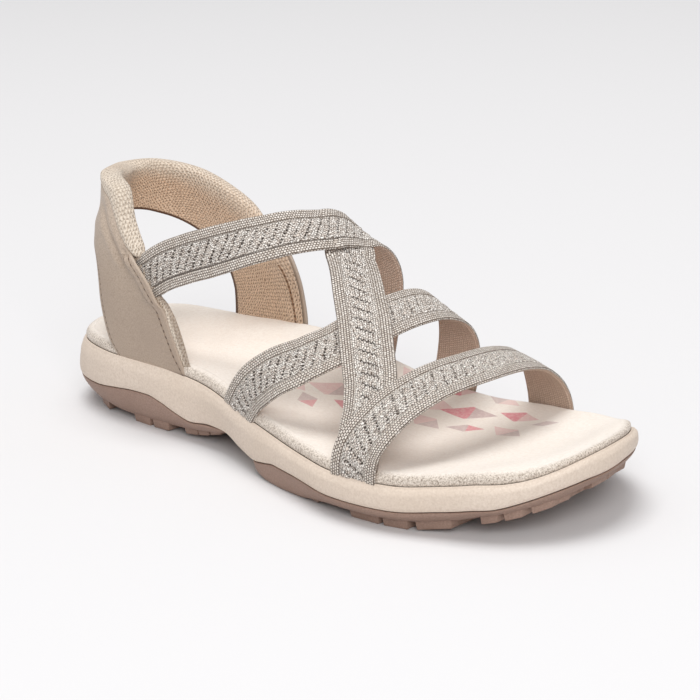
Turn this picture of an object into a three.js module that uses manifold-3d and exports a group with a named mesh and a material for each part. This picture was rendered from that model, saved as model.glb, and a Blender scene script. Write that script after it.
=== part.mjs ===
// A woman's cross strap sandal for the right foot, size 38: a lugged outsole, a foam midsole,
// a padded footbed, four crossing elastic straps and a padded sling around the heel.
// Millimetres. +X points to the toe, +Y to the inner side of the foot and +Z up.
import * as THREE from 'three';
import Module from 'manifold-3d';
import { mergeVertices } from 'three/addons/utils/BufferGeometryUtils.js';

// Driving dimensions of the sole
const footbedLength = 252;
const ballWidth = 95;
const heelLine = 26;
const footbedRim = 4.1;
const seatInset = 1.2;
const rimInset = 2.4;
const rimSide = [{ level: 0.3, inset: 0.5 }, { level: 0.75, inset: 0.8 }];
const footbedCup = 1.8;
const archRise = 6;
const archPlace = 0.42;
const archReach = 0.14;
const toeTilt = 0.075;
const midsoleBulge = 2;
const groundInset = 4.4;
const heelBevel = 2.5;
const waistTuck = 2.5;
const waistNarrowing = 12;
const waistPlace = 0.45;
const foamWaistReach = 0.08;
const rubberWaistReach = 0.036;
const lugDepth = 2.6;
const lugReach = 15;
const lugCentreWidth = 13;
const lugStep = 0.2;
const toeLugReach = 8;
const lugRoot = 1;
const clearance = 0.3;
const trimStock = 0.8;

// Driving dimensions of the upper
const instepHeight = 66;
const strapWidth = 19;
const crossWidth = 18.5;
const instepStrapWidth = 19;
const strapThickness = 2;
const strapAnchor = 5;
const anchorLean = 0.25;
const collarHeight = 65;
const collarSetback = 6;
const collarLean = 3;
const slingTaper = 4;
const collarSway = 2.5;
const shellThickness = 1.5;
const padThickness = 2.2;
const padRoll = 2.6;
const slingLegWidth = 37;
const shellShare = 0.93;
const padShares = [0, 0.06, 0.3, 0.6, 0.82, shellShare + 0.015, shellShare + 0.03, 1];
const slingAnchor = 3.5;

// Where the caps of the sole's bodies are cut: the ends of their middle line as shares of the
// length, and the shares of the way in to it
const middleEnds = [0.16, 0.82];
const nearCap = 0.4;
const farCap = 0.85;

// Where the smooth forms are cut into faces
const outlineSteps = 80;
const strapSteps = 24;
const slingSteps = 36;

// Half widths of the footbed line on both sides, as shares of the ball width
const outline = [
  { at: 0.000, outer: 0.000, inner: 0.000 },
  { at: 0.015, outer: 0.128, inner: 0.178 },
  { at: 0.060, outer: 0.261, inner: 0.267 },
  { at: 0.140, outer: 0.336, inner: 0.303 },
  { at: 0.250, outer: 0.344, inner: 0.314 },
  { at: 0.360, outer: 0.330, inner: 0.319 },
  { at: 0.480, outer: 0.397, inner: 0.337 },
  { at: 0.600, outer: 0.469, inner: 0.376 },
  { at: 0.700, outer: 0.519, inner: 0.418 },
  { at: 0.780, outer: 0.503, inner: 0.479 },
  { at: 0.860, outer: 0.423, inner: 0.474 },
  { at: 0.930, outer: 0.329, inner: 0.389 },
  { at: 0.980, outer: 0.175, inner: 0.232 },
  { at: 1.000, outer: -0.017, inner: 0.017 },
];

// Heights along the sole, as shares of the heel line's height: the footbed line, the parting
// between midsole and outsole, and the tread, which lifts at the toe. Web is the share of the
// lug depth left open under the outsole, and inset the share of the ground inset
const profile = [
  { at: 0.00, line: 1.000, parting: 0.460, tread: 0.16, web: 1.0, inset: 1.00 },
  { at: 0.06, line: 1.015, parting: 0.478, tread: 0.07, web: 1.0, inset: 1.00 },
  { at: 0.12, line: 1.027, parting: 0.492, tread: 0.02, web: 1.0, inset: 1.00 },
  { at: 0.18, line: 1.027, parting: 0.556, tread: 0.00, web: 1.0, inset: 1.00 },
  { at: 0.22, line: 1.027, parting: 0.587, tread: 0.00, web: 1.0, inset: 1.00 },
  { at: 0.25, line: 1.023, parting: 0.588, tread: 0.00, web: 1.0, inset: 1.00 },
  { at: 0.28, line: 1.016, parting: 0.520, tread: 0.02, web: 0.9, inset: 1.00 },
  { at: 0.31, line: 0.990, parting: 0.410, tread: 0.05, web: 0.7, inset: 0.95 },
  { at: 0.34, line: 0.960, parting: 0.338, tread: 0.08, web: 0.8, inset: 0.80 },
  { at: 0.38, line: 0.918, parting: 0.385, tread: 0.18, web: 0.5, inset: 0.60 },
  { at: 0.42, line: 0.868, parting: 0.395, tread: 0.28, web: 0.2, inset: 0.40 },
  { at: 0.47, line: 0.803, parting: 0.290, tread: 0.20, web: 0.0, inset: 0.30 },
  { at: 0.51, line: 0.755, parting: 0.236, tread: 0.06, web: 0.0, inset: 0.20 },
  { at: 0.54, line: 0.725, parting: 0.285, tread: 0.01, web: 0.0, inset: 0.25 },
  { at: 0.57, line: 0.695, parting: 0.340, tread: 0.00, web: 0.0, inset: 0.30 },
  { at: 0.62, line: 0.650, parting: 0.340, tread: 0.00, web: 0.1, inset: 0.50 },
  { at: 0.65, line: 0.635, parting: 0.330, tread: 0.00, web: 0.5, inset: 0.65 },
  { at: 0.70, line: 0.610, parting: 0.300, tread: 0.00, web: 0.9, inset: 0.90 },
  { at: 0.80, line: 0.605, parting: 0.300, tread: 0.00, web: 1.0, inset: 1.00 },
  { at: 0.86, line: 0.668, parting: 0.362, tread: 0.07, web: 1.0, inset: 1.00 },
  { at: 0.92, line: 0.785, parting: 0.480, tread: 0.24, web: 0.9, inset: 1.00 },
  { at: 0.96, line: 0.910, parting: 0.662, tread: 0.41, web: 0.8, inset: 0.90 },
  { at: 0.98, line: 0.985, parting: 0.745, tread: 0.50, web: 0.7, inset: 0.80 },
  { at: 1.00, line: 1.060, parting: 0.810, tread: 0.62, web: 0.6, inset: 0.70 },
];

// Lug rows under the outsole, as shares of the length, and whether a lug stands at the outer edge
const lugRows = [
  { from: 0.092, to: 0.122, outerEdge: true },
  { from: 0.137, to: 0.175, outerEdge: false },
  { from: 0.192, to: 0.228, outerEdge: true },
  { from: 0.237, to: 0.271, outerEdge: true },
  { from: 0.280, to: 0.300, outerEdge: false },
  { from: 0.308, to: 0.333, outerEdge: true },
  { from: 0.336, to: 0.358, outerEdge: true },
  { from: 0.362, to: 0.387, outerEdge: true },
  { from: 0.622, to: 0.655, outerEdge: true },
  { from: 0.666, to: 0.708, outerEdge: false },
  { from: 0.723, to: 0.770, outerEdge: true },
  { from: 0.778, to: 0.812, outerEdge: true },
  { from: 0.824, to: 0.867, outerEdge: true },
  { from: 0.877, to: 0.896, outerEdge: false },
  { from: 0.904, to: 0.922, outerEdge: true },
  { from: 0.930, to: 0.947, outerEdge: true },
  { from: 0.956, to: 0.972, outerEdge: true },
];

// Lugs around the toe, as shares of the way around the footbed line
const toeLugs = [
  { from: 0.4645, to: 0.4786 },
  { from: 0.4954, to: 0.5115 },
  { from: 0.5135, to: 0.5360 },
  { from: 0.5560, to: 0.5780 },
];

// The last that the straps lie on: the crest's height over the footbed line as a share of the
// instep height, its lean to the inner side as a share of the ball width, and the inner fullness
const last = [
  { at: 0.16, crest: 1.570, lean: 0.000, fullness: 0.90 },
  { at: 0.32, crest: 1.290, lean: 0.041, fullness: 0.88 },
  { at: 0.44, crest: 1.010, lean: 0.072, fullness: 0.76 },
  { at: 0.55, crest: 0.780, lean: 0.112, fullness: 0.74 },
  { at: 0.67, crest: 0.590, lean: 0.100, fullness: 0.80 },
  { at: 0.80, crest: 0.450, lean: 0.010, fullness: 0.82 },
  { at: 0.95, crest: 0.340, lean: 0.020, fullness: 0.80 },
];

// Strap centre lines over the last. The turn goes from 0 at the outer side to 1 at the inner
// side; at is the share of the length, and lift is the step over or under the last's surface as a
// share of the strap's thickness
const toeStrap = [
  { turn: 0.00, at: 0.742, lift: 0.10 },
  { turn: 0.08, at: 0.745, lift: 0.60 },
  { turn: 0.20, at: 0.761, lift: 0.80 },
  { turn: 0.34, at: 0.779, lift: 0.50 },
  { turn: 0.50, at: 0.794, lift: 0.20 },
  { turn: 0.62, at: 0.791, lift: 0.10 },
  { turn: 0.76, at: 0.778, lift: 0.00 },
  { turn: 0.90, at: 0.772, lift: 0.00 },
  { turn: 1.00, at: 0.772, lift: 0.00 },
];
const ballStrap = [
  { turn: 0.00, at: 0.466, lift: 0.00 },
  { turn: 0.06, at: 0.498, lift: 0.00 },
  { turn: 0.12, at: 0.537, lift: 0.00 },
  { turn: 0.20, at: 0.585, lift: -0.30 },
  { turn: 0.30, at: 0.620, lift: -0.60 },
  { turn: 0.42, at: 0.638, lift: -0.50 },
  { turn: 0.54, at: 0.643, lift: 0.00 },
  { turn: 0.68, at: 0.643, lift: 0.00 },
  { turn: 0.80, at: 0.638, lift: 0.00 },
  { turn: 0.91, at: 0.628, lift: 0.00 },
  { turn: 1.00, at: 0.615, lift: 0.00 },
];
const instepStrap = [
  { turn: 0.105, at: 0.227, lift: -0.50 },
  { turn: 0.137, at: 0.272, lift: -0.40 },
  { turn: 0.171, at: 0.318, lift: -0.20 },
  { turn: 0.210, at: 0.362, lift: 0.05 },
  { turn: 0.262, at: 0.403, lift: 0.20 },
  { turn: 0.342, at: 0.446, lift: 0.30 },
  { turn: 0.440, at: 0.478, lift: 0.50 },
  { turn: 0.500, at: 0.489, lift: 0.30 },
  { turn: 0.550, at: 0.496, lift: -0.50 },
  { turn: 0.600, at: 0.499, lift: -0.90 },
  { turn: 0.640, at: 0.500, lift: -0.40 },
  { turn: 0.700, at: 0.501, lift: 0.05 },
  { turn: 0.760, at: 0.501, lift: 0.45 },
  { turn: 0.800, at: 0.499, lift: 0.65 },
  { turn: 0.900, at: 0.487, lift: 0.50 },
  { turn: 1.000, at: 0.474, lift: 0.00 },
];
const crossStrap = [
  { turn: 0.530, at: 0.508, lift: -1.30 },
  { turn: 0.480, at: 0.545, lift: -0.50 },
  { turn: 0.420, at: 0.587, lift: 0.30 },
  { turn: 0.361, at: 0.637, lift: 0.45 },
  { turn: 0.314, at: 0.674, lift: 0.20 },
  { turn: 0.265, at: 0.707, lift: -0.10 },
  { turn: 0.200, at: 0.729, lift: -0.30 },
  { turn: 0.100, at: 0.741, lift: -0.40 },
  { turn: 0.030, at: 0.742, lift: -0.40 },
];

// The sling's rear and front edges. Round gives the place on the footbed line, measured from
// the back of the heel as a share of the length, minus to the outer side; up is the height
// over the heel line as a share of the collar's height; roll thickens the padded front edge
const slingEdges = [
  { rear: -0.244, rearUp: 0.015, front: -0.396, frontUp: -0.010, roll: 0.0 },
  { rear: -0.222, rearUp: 0.120, front: -0.391, frontUp: 0.120, roll: 0.1 },
  { rear: -0.204, rearUp: 0.300, front: -0.370, frontUp: 0.320, roll: 0.3 },
  { rear: -0.195, rearUp: 0.450, front: -0.340, frontUp: 0.480, roll: 0.6 },
  { rear: -0.180, rearUp: 0.560, front: -0.300, frontUp: 0.640, roll: 0.9 },
  { rear: -0.150, rearUp: 0.630, front: -0.262, frontUp: 0.800, roll: 1.0 },
  { rear: -0.110, rearUp: 0.670, front: -0.225, frontUp: 0.980, roll: 1.0 },
  { rear: -0.060, rearUp: 0.700, front: -0.120, frontUp: 1.028, roll: 1.0 },
  { rear: 0.000, rearUp: 0.715, front: 0.000, frontUp: 1.008, roll: 1.0 },
  { rear: 0.060, rearUp: 0.698, front: 0.090, frontUp: 0.990, roll: 1.0 },
  { rear: 0.120, rearUp: 0.655, front: 0.180, frontUp: 0.942, roll: 1.0 },
  { rear: 0.175, rearUp: 0.575, front: 0.255, frontUp: 0.850, roll: 0.9 },
  { rear: 0.215, rearUp: 0.480, front: 0.320, frontUp: 0.720, roll: 0.7 },
  { rear: 0.245, rearUp: 0.350, front: 0.380, frontUp: 0.510, roll: 0.5 },
  { rear: 0.255, rearUp: 0.210, front: 0.402, frontUp: 0.310, roll: 0.3 },
  { rear: 0.254, rearUp: 0.090, front: 0.408, frontUp: 0.120, roll: 0.1 },
  { rear: 0.248, rearUp: 0.015, front: 0.402, frontUp: 0.000, roll: 0.0 },
];

// A smooth value read from a table's named column, with no overshoot between its rows
function read(table, key, column, value) {
  const end = table.length - 1;
  const rising = table[end][key] > table[0][key];
  let i = 0;
  while (i < end - 1 && (rising ? value > table[i + 1][key] : value < table[i + 1][key])) {
    i += 1;
  }
  const secant = (j) => (
    (table[j + 1][column] - table[j][column]) / (table[j + 1][key] - table[j][key]));
  const slope = (j) => {
    const before = secant(Math.max(j - 1, 0));
    const after = secant(Math.min(j, end - 1));
    return before * after > 0 ? 2 * before * after / (before + after) : 0;
  };
  const span = table[i + 1][key] - table[i][key];
  const t = THREE.MathUtils.clamp((value - table[i][key]) / span, 0, 1);
  const t2 = t * t;
  const t3 = t2 * t;
  return (2 * t3 - 3 * t2 + 1) * table[i][column] + (t3 - 2 * t2 + t) * span * slope(i)
    + (3 * t2 - 2 * t3) * table[i + 1][column] + (t3 - t2) * span * slope(i + 1);
}

function bump(value, centre, reach) {
  const d = (value - centre) / reach;
  return Math.exp(-d * d);
}

function smoothstep(value, from, to) {
  return THREE.MathUtils.smoothstep(value, from, to);
}

// The footbed line seen from above, anticlockwise from the back of the heel
const outlineCurve = new THREE.CatmullRomCurve3([
  ...outline.slice(0, -1).map((row) => new THREE.Vector3(row.at, -row.outer, 0)),
  ...outline.slice(1).reverse().map((row) => new THREE.Vector3(row.at, row.inner, 0)),
].map((p) => p.set(p.x * footbedLength, p.y * ballWidth, 0)), true, 'centripetal');
const outlineLength = outlineCurve.getLength();

// A point of the footbed line with its outward direction
function edgePoint(share) {
  const u = THREE.MathUtils.euclideanModulo(share, 1);
  const point = outlineCurve.getPointAt(u);
  const along = outlineCurve.getTangentAt(u);
  return { point, out: new THREE.Vector3(along.y, -along.x, 0) };
}

const outerEdge = (x) => -read(outline, 'at', 'outer', x / footbedLength) * ballWidth;
const innerEdge = (x) => read(outline, 'at', 'inner', x / footbedLength) * ballWidth;

// How much higher the toe stands towards its inner side
function toeRise(x, y) {
  return toeTilt * y * smoothstep(THREE.MathUtils.clamp(x / footbedLength, 0, 1), 0.90, 0.97);
}

function lineHeight(x, y) {
  const at = THREE.MathUtils.clamp(x / footbedLength, 0, 1);
  const arch = archRise * bump(at, archPlace, archReach) * smoothstep(y, 0, 0.3 * ballWidth);
  return read(profile, 'at', 'line', at) * heelLine + arch + toeRise(x, y);
}

function profileShare(column, x) {
  return read(profile, 'at', column, THREE.MathUtils.clamp(x / footbedLength, 0, 1));
}

function profileHeight(column, x, y) {
  return profileShare(column, x) * heelLine + toeRise(x, y);
}

// A ring around the sole, moved outward by a distance and set at a height
function soleRing(offset, height) {
  return Array.from({ length: outlineSteps }, (_, i) => {
    const { point, out } = edgePoint(i / outlineSteps);
    const p = point.clone().addScaledVector(out, offset(point.x));
    p.z = height(p.x, p.y);
    return p;
  });
}

// A ring drawn in from another one towards the middle line of the sole
function innerRing(ring, share, height) {
  return ring.map((p) => {
    const x = THREE.MathUtils.clamp(p.x, middleEnds[0] * footbedLength, middleEnds[1] * footbedLength);
    const middle = new THREE.Vector3(x, (outerEdge(x) + innerEdge(x)) / 2, 0);
    const q = p.clone().lerp(middle, share);
    q.z = height(q.x, q.y);
    return q;
  });
}

// Triangles that close a ring seen from above
function flatCap(ring) {
  const contour = ring.map((p) => new THREE.Vector2(p.x, p.y));
  return THREE.ShapeUtils.triangulateShape(contour, []).map(([a, b, c]) => {
    const turn = new THREE.Vector2().subVectors(contour[b], contour[a])
      .cross(new THREE.Vector2().subVectors(contour[c], contour[a]));
    return turn > 0 ? [a, b, c] : [a, c, b];
  });
}

// Triangles that close a small ring of any direction
function fanCap(ring) {
  return ring.slice(2).map((_, i) => [0, i + 1, i + 2]);
}

const wasm = await Module();
wasm.setup();

// A closed body through a row of rings of equally many points
function loft(rings, cap) {
  const size = rings[0].length;
  const positions = rings.flat().flatMap((p) => [p.x, p.y, p.z]);
  const indices = [];
  rings.slice(1).forEach((_, k) => {
    for (let j = 0; j < size; j += 1) {
      const a = k * size + j;
      const b = k * size + (j + 1) % size;
      indices.push(a, b, b + size, a, b + size, a + size);
    }
  });
  const top = (rings.length - 1) * size;
  cap(rings[0]).forEach(([a, b, c]) => indices.push(a, c, b));
  cap(rings[rings.length - 1]).forEach(([a, b, c]) => indices.push(top + a, top + b, top + c));
  const geometry = new THREE.BufferGeometry();
  geometry.setAttribute('position', new THREE.Float32BufferAttribute(positions, 3));
  geometry.setIndex(indices);
  return toSolid(geometry);
}

function signedVolume(positions, indices) {
  const [a, b, c] = [new THREE.Vector3(), new THREE.Vector3(), new THREE.Vector3()];
  let sum = 0;
  for (let i = 0; i < indices.length; i += 3) {
    a.fromArray(positions, indices[i] * 3);
    b.fromArray(positions, indices[i + 1] * 3);
    c.fromArray(positions, indices[i + 2] * 3);
    sum += a.dot(b.cross(c));
  }
  return sum / 6;
}

function toSolid(geometry) {
  const merged = mergeVertices(geometry, 1e-4);
  const vertProperties = new Float32Array(merged.attributes.position.array);
  const triVerts = new Uint32Array(merged.index.array);
  if (signedVolume(vertProperties, triVerts) < 0) {
    triVerts.reverse();
  }
  return new wasm.Manifold(new wasm.Mesh({ numProp: 3, vertProperties, triVerts }));
}

function toMesh(name, solid, color, roughness) {
  const { vertProperties, triVerts } = solid.getMesh();
  const geometry = new THREE.BufferGeometry();
  geometry.setAttribute('position', new THREE.BufferAttribute(vertProperties, 3));
  geometry.setIndex(new THREE.BufferAttribute(triVerts, 1));
  geometry.computeVertexNormals();
  const material = new THREE.MeshStandardMaterial({ color, roughness, metalness: 0 });
  const mesh = new THREE.Mesh(geometry, material);
  mesh.name = name;
  return mesh;
}

// The foam midsole with its full side, tucked in under the waist
function midsole() {
  const waist = (x) => bump(x / footbedLength, waistPlace, foamWaistReach);
  const bottom = (x, y) => profileHeight('parting', x, y);
  const rise = (share) => (x, y) => (
    THREE.MathUtils.lerp(bottom(x, y), lineHeight(x, y), share));
  const foot = soleRing((x) => -waistTuck * waist(x), bottom);
  const top = soleRing(() => 0, (x, y) => lineHeight(x, y));
  return loft([
    innerRing(foot, farCap, bottom),
    innerRing(foot, nearCap, bottom),
    foot,
    soleRing((x) => midsoleBulge - waistTuck * 0.7 * waist(x), rise(0.3)),
    soleRing((x) => midsoleBulge - waistTuck * 0.2 * waist(x), rise(0.65)),
    soleRing(() => midsoleBulge * 0.5, rise(0.9)),
    top,
    innerRing(top, nearCap, lineHeight),
    innerRing(top, farCap, lineHeight),
  ], flatCap);
}

// The footbed's top: a rim all round, a shallow cup and a low ridge under the toes
function footbedTop(x, y) {
  const at = x / footbedLength;
  const middle = (outerEdge(x) + innerEdge(x)) / 2;
  const reach = Math.max((innerEdge(x) - outerEdge(x)) / 2, 0.1 * ballWidth);
  const fromEdge = THREE.MathUtils.clamp(1 - Math.abs(y - middle) / reach, 0, 1);
  const fromEnds = smoothstep(at, 0.0, 0.08) * (1 - smoothstep(at, 0.92, 1));
  const cup = footbedCup * smoothstep(fromEdge, 0, 0.5) * fromEnds;
  const toeRidge = 0.7 * footbedCup * bump(at, 0.83, 0.035) * smoothstep(fromEdge, 0.1, 0.5);
  return lineHeight(x, y) + footbedRim - cup + toeRidge;
}

function footbed() {
  const seat = (x, y) => lineHeight(x, y) - trimStock;
  const level = (share) => (x, y) => lineHeight(x, y) + footbedRim * share;
  const bottom = soleRing(() => -seatInset, seat);
  const rim = soleRing(() => -rimInset, level(1));
  return loft([
    innerRing(bottom, farCap, seat),
    innerRing(bottom, nearCap, seat),
    bottom,
    ...rimSide.map((side) => soleRing(() => -side.inset, level(side.level))),
    rim,
    innerRing(rim, 0.2, footbedTop),
    innerRing(rim, 0.45, footbedTop),
    innerRing(rim, farCap, footbedTop),
  ], flatCap);
}

// A block under the outsole on four corners, given clockwise or anticlockwise
function lug(corners) {
  const ring = (height) => corners.map(([x, y]) => new THREE.Vector3(x, y, height(x, y)));
  const tread = (x, y) => profileHeight('tread', x, y);
  return loft([ring(tread), ring((x, y) => tread(x, y) + lugDepth + lugRoot)], fanCap);
}

// The four corners of a lug between two places along the length and two edges
function lugCorners(from, to, near, far) {
  const [a, b] = [from * footbedLength, to * footbedLength];
  return [[a, near(a)], [b, near(b)], [b, far(b)], [a, far(a)]];
}

// The four corners of a lug that follows the toe between two places along the footbed line
function toeLugCorners(from, to, inset) {
  const corner = (share, depth) => {
    const { point, out } = edgePoint(share);
    return [point.x - out.x * depth, point.y - out.y * depth];
  };
  return [corner(from, inset), corner(to, inset),
    corner(to, inset + toeLugReach), corner(from, inset + toeLugReach)];
}

// The rubber outsole: a heel pad and a forefoot pad joined by a narrow raised waist
function outsole() {
  const waist = (x) => bump(x / footbedLength, waistPlace, rubberWaistReach);
  const heel = (x) => 1 - smoothstep(x / footbedLength, 0, 0.1);
  const top = (x, y) => profileHeight('parting', x, y) + trimStock;
  const under = (x, y) => profileHeight('tread', x, y) + lugDepth * profileShare('web', x);
  const wall = (share) => (x, y) => THREE.MathUtils.lerp(under(x, y), top(x, y), share);
  const narrowing = (x) => -waistNarrowing * waist(x);
  const bevel = (share) => (x) => (
    narrowing(x) - share * (groundInset * profileShare('inset', x) + heelBevel * heel(x)));
  const lip = soleRing((x) => narrowing(x) - 0.2, wall(1));
  const foot = soleRing(bevel(1), under);
  let solid = loft([
    innerRing(foot, farCap, under),
    innerRing(foot, nearCap, under),
    foot,
    soleRing(bevel(0.5), wall(0.4)),
    soleRing(bevel(0.1), wall(0.8)),
    lip,
    innerRing(lip, nearCap, top),
    innerRing(lip, farCap, top),
  ], flatCap);
  const inset = groundInset + lugStep;
  const middle = (x) => (outerEdge(x) + innerEdge(x)) / 2;
  const spans = [
    [(x) => outerEdge(x) + inset, (x) => outerEdge(x) + inset + lugReach],
    [(x) => innerEdge(x) - inset - lugReach, (x) => innerEdge(x) - inset],
    [(x) => middle(x) - lugCentreWidth / 2, (x) => middle(x) + lugCentreWidth / 2],
  ];
  lugRows.forEach((row) => {
    spans.slice(row.outerEdge ? 0 : 1).forEach(([near, far]) => {
      solid = solid.add(lug(lugCorners(row.from, row.to, near, far)));
    });
  });
  toeLugs.forEach(({ from, to }) => {
    solid = solid.add(lug(toeLugCorners(from, to, inset)));
  });
  return solid;
}

// A point of the last over the footbed line
function lastPoint(at, turn) {
  const x = at * footbedLength;
  const angle = turn * Math.PI;
  const half = (innerEdge(x) - outerEdge(x)) / 2;
  const middle = (innerEdge(x) + outerEdge(x)) / 2;
  const fullness = angle > Math.PI / 2 ? read(last, 'at', 'fullness', at) : 1;
  const across = Math.sign(Math.cos(angle)) * Math.abs(Math.cos(angle)) ** fullness;
  const lean = read(last, 'at', 'lean', at) * ballWidth * Math.sin(angle) ** 2;
  const y = middle + lean - half * across;
  const crest = read(last, 'at', 'crest', at) * instepHeight * Math.sin(angle);
  return new THREE.Vector3(x, y, lineHeight(x, y) + crest);
}

// The frame of a strap at a turn around the last: its point, direction, outward side and width
function strapFrame(route, turn) {
  const step = 0.004;
  const at = read(route, 'turn', 'at', turn);
  const safe = THREE.MathUtils.clamp(turn, step, 1 - step);
  const point = lastPoint(at, turn);
  const forward = lastPoint(read(route, 'turn', 'at', safe + step), safe + step)
    .sub(lastPoint(read(route, 'turn', 'at', safe - step), safe - step)).normalize();
  const alongFoot = lastPoint(at + step, safe).sub(lastPoint(at - step, safe)).normalize();
  const around = lastPoint(at, safe + step).sub(lastPoint(at, safe - step)).normalize();
  const out = new THREE.Vector3().crossVectors(alongFoot, around).normalize();
  const square = new THREE.Vector3().crossVectors(forward, out).normalize();
  const nearSole = 1 - smoothstep(Math.min(turn, 1 - turn), 0.02, 0.12);
  const across = square.clone().lerp(alongFoot, nearSole).normalize();
  across.multiplyScalar(1 / Math.max(Math.abs(across.dot(square)), 0.5));
  return { point, out, across, lift: read(route, 'turn', 'lift', turn) * strapThickness };
}

function strapSection({ point, out, across, lift }, width, grow) {
  const half = width / 2 + grow;
  const faces = [lift + grow, lift - strapThickness - grow];
  const place = (side, face) => point.clone().addScaledVector(across, side * half)
    .addScaledVector(out, face);
  return [
    place(-1, faces[0]), place(0, faces[0]), place(1, faces[0]),
    place(1, faces[1]), place(0, faces[1]), place(-1, faces[1]),
  ];
}

// A strap along its route; an end that reaches the sole runs on into it
function strap(route, width, grow) {
  const turns = route.map((row) => row.turn);
  const start = turns[0];
  const end = turns[turns.length - 1];
  const frames = Array.from({ length: strapSteps + 1 }, (_, i) => (
    strapFrame(route, THREE.MathUtils.lerp(start, end, i / strapSteps))));
  const anchor = (frame) => {
    const depth = new THREE.Vector3(0, 0, -strapAnchor - grow)
      .addScaledVector(frame.out, -anchorLean * strapAnchor);
    return { ...frame, point: frame.point.clone().add(depth) };
  };
  if (Math.min(start, 1 - start) < 0.05) {
    frames.unshift(anchor(frames[0]));
  }
  if (Math.min(end, 1 - end) < 0.05) {
    frames.push(anchor(frames[frames.length - 1]));
  }
  return loft(frames.map((frame) => strapSection(frame, width, grow)), fanCap);
}

function straps(grow) {
  return strap(ballStrap, strapWidth, grow)
    .add(strap(crossStrap, crossWidth, grow))
    .add(strap(toeStrap, strapWidth, grow))
    .add(strap(instepStrap, instepStrapWidth, grow));
}

// A place on the sling's outer face, with the direction that points away from the foot
function slingPlace(round, up) {
  const { point, out } = edgePoint(-round * footbedLength / outlineLength);
  const back = 1 - smoothstep(Math.abs(round), 0.05, 0.2);
  const above = THREE.MathUtils.clamp((up - 0.7) / 0.3, 0, 1);
  const setback = back * (collarSetback + collarLean * (1 - above))
    + (1 - back) * slingTaper * up * up;
  const p = point.clone().addScaledVector(out, -setback);
  p.y += collarSway * smoothstep(up, 0.3, 1);
  p.z = heelLine + up * collarHeight;
  return { p, out };
}

// A layer of the sling between two depths under its outer face. The shares go from the rear
// edge to the front edge, and grow widens the layer past both
function slingLayer(shares, depths, grow) {
  const rows = slingEdges.map((row, i) => ({ ...row, run: i / (slingEdges.length - 1) }));
  const widen = grow / slingLegWidth;
  const section = (run, drop) => {
    const value = (column) => read(rows, 'run', column, run);
    const roll = value('roll');
    const points = shares.map((share) => {
      const part = share * (1 + 2 * widen) - widen;
      const round = THREE.MathUtils.lerp(value('rear'), value('front'), part);
      const up = THREE.MathUtils.lerp(value('rearUp'), value('frontUp'), part);
      const { p, out } = slingPlace(round, up);
      p.z -= drop;
      return { p, out, share, roll };
    });
    const face = (list, side) => list.map((q) => (
      q.p.clone().addScaledVector(q.out, -depths(side, q.share, q.roll))));
    return [...face(points, 'outer'), ...face(points.slice().reverse(), 'inner')];
  };
  const rings = Array.from({ length: slingSteps + 1 }, (_, i) => section(i / slingSteps, 0));
  rings.unshift(section(0, slingAnchor + grow));
  rings.push(section(1, slingAnchor + grow));
  return loft(rings, fanCap);
}

function slingShell(grow) {
  const depths = (side) => (side === 'outer' ? -grow : shellThickness + grow);
  return slingLayer([0, 0.06, 0.3, 0.6, 0.82, shellShare], depths, grow);
}

// How deep the sling's layers lie in all
function slingDepth(share, roll) {
  const bead = padRoll * roll * smoothstep(share, 0.1, 0.75);
  return shellThickness + clearance + padThickness + bead;
}

// The space that both layers take up in the sole, with the clearance around them
function slingRoom() {
  const depths = (side, share, roll) => (
    side === 'outer' ? -clearance : slingDepth(share, roll) + clearance);
  return slingLayer(padShares, depths, clearance);
}

// The padded lining behind the shell, whose front edge rolls out over the shell's edge
function slingPad() {
  const depths = (side, share, roll) => {
    const full = slingDepth(share, roll);
    const round = share === 1 ? 0.3 * full : 0;
    const outer = share > shellShare + 0.02 ? round : shellThickness - clearance;
    return side === 'outer' ? outer : full - round;
  };
  return slingLayer(padShares, depths, 0);
}

const group = new THREE.Group();
const upper = straps(0);
const strapRoom = straps(clearance);
const shell = slingShell(0).subtract(strapRoom);
const pad = slingPad().subtract(slingShell(clearance)).subtract(strapRoom);
const upperRoom = strapRoom.add(slingRoom());

const foam = midsole();
const treadTrimmed = outsole().subtract(foam.translate([0, 0, -clearance]));
const footbedTrimmed = footbed().subtract(foam.translate([0, 0, clearance]));

group.add(toMesh('outsole', treadTrimmed, 0x9a8078, 0.75));
group.add(toMesh('midsole', foam.subtract(upperRoom), 0xcdbda6, 0.8));
group.add(toMesh('footbed', footbedTrimmed.subtract(upperRoom), 0xe3d9cb, 0.95));
group.add(toMesh('upper_straps', upper, 0xa39a8c, 0.9));
group.add(toMesh('sling_shell', shell, 0xa5988a, 0.55));
group.add(toMesh('sling_pad', pad, 0xcdb698, 0.95));

// The origin sits under the middle of the sandal, on the floor
const box = new THREE.Box3().setFromObject(group);
group.position.set(-(box.min.x + box.max.x) / 2, -(box.min.y + box.max.y) / 2, -box.min.z);

export default group;
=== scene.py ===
# %% [markdown]
# A woman's cross strap sandal for the right foot, shown as a studio product picture.
# The sandal has a rubber outsole with lugs, a foam midsole, a suede footbed, four crossing
# elastic straps and a padded sling behind the heel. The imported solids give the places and
# sizes, and this lesson builds the surfaces that a person would see around them.
# +X points to the toe, +Y to the inner side of the foot and +Z up, in metres.

# %% Open the fixed frame
import math
import bpy
import numpy as np
from mathutils import Matrix, Vector


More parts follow.
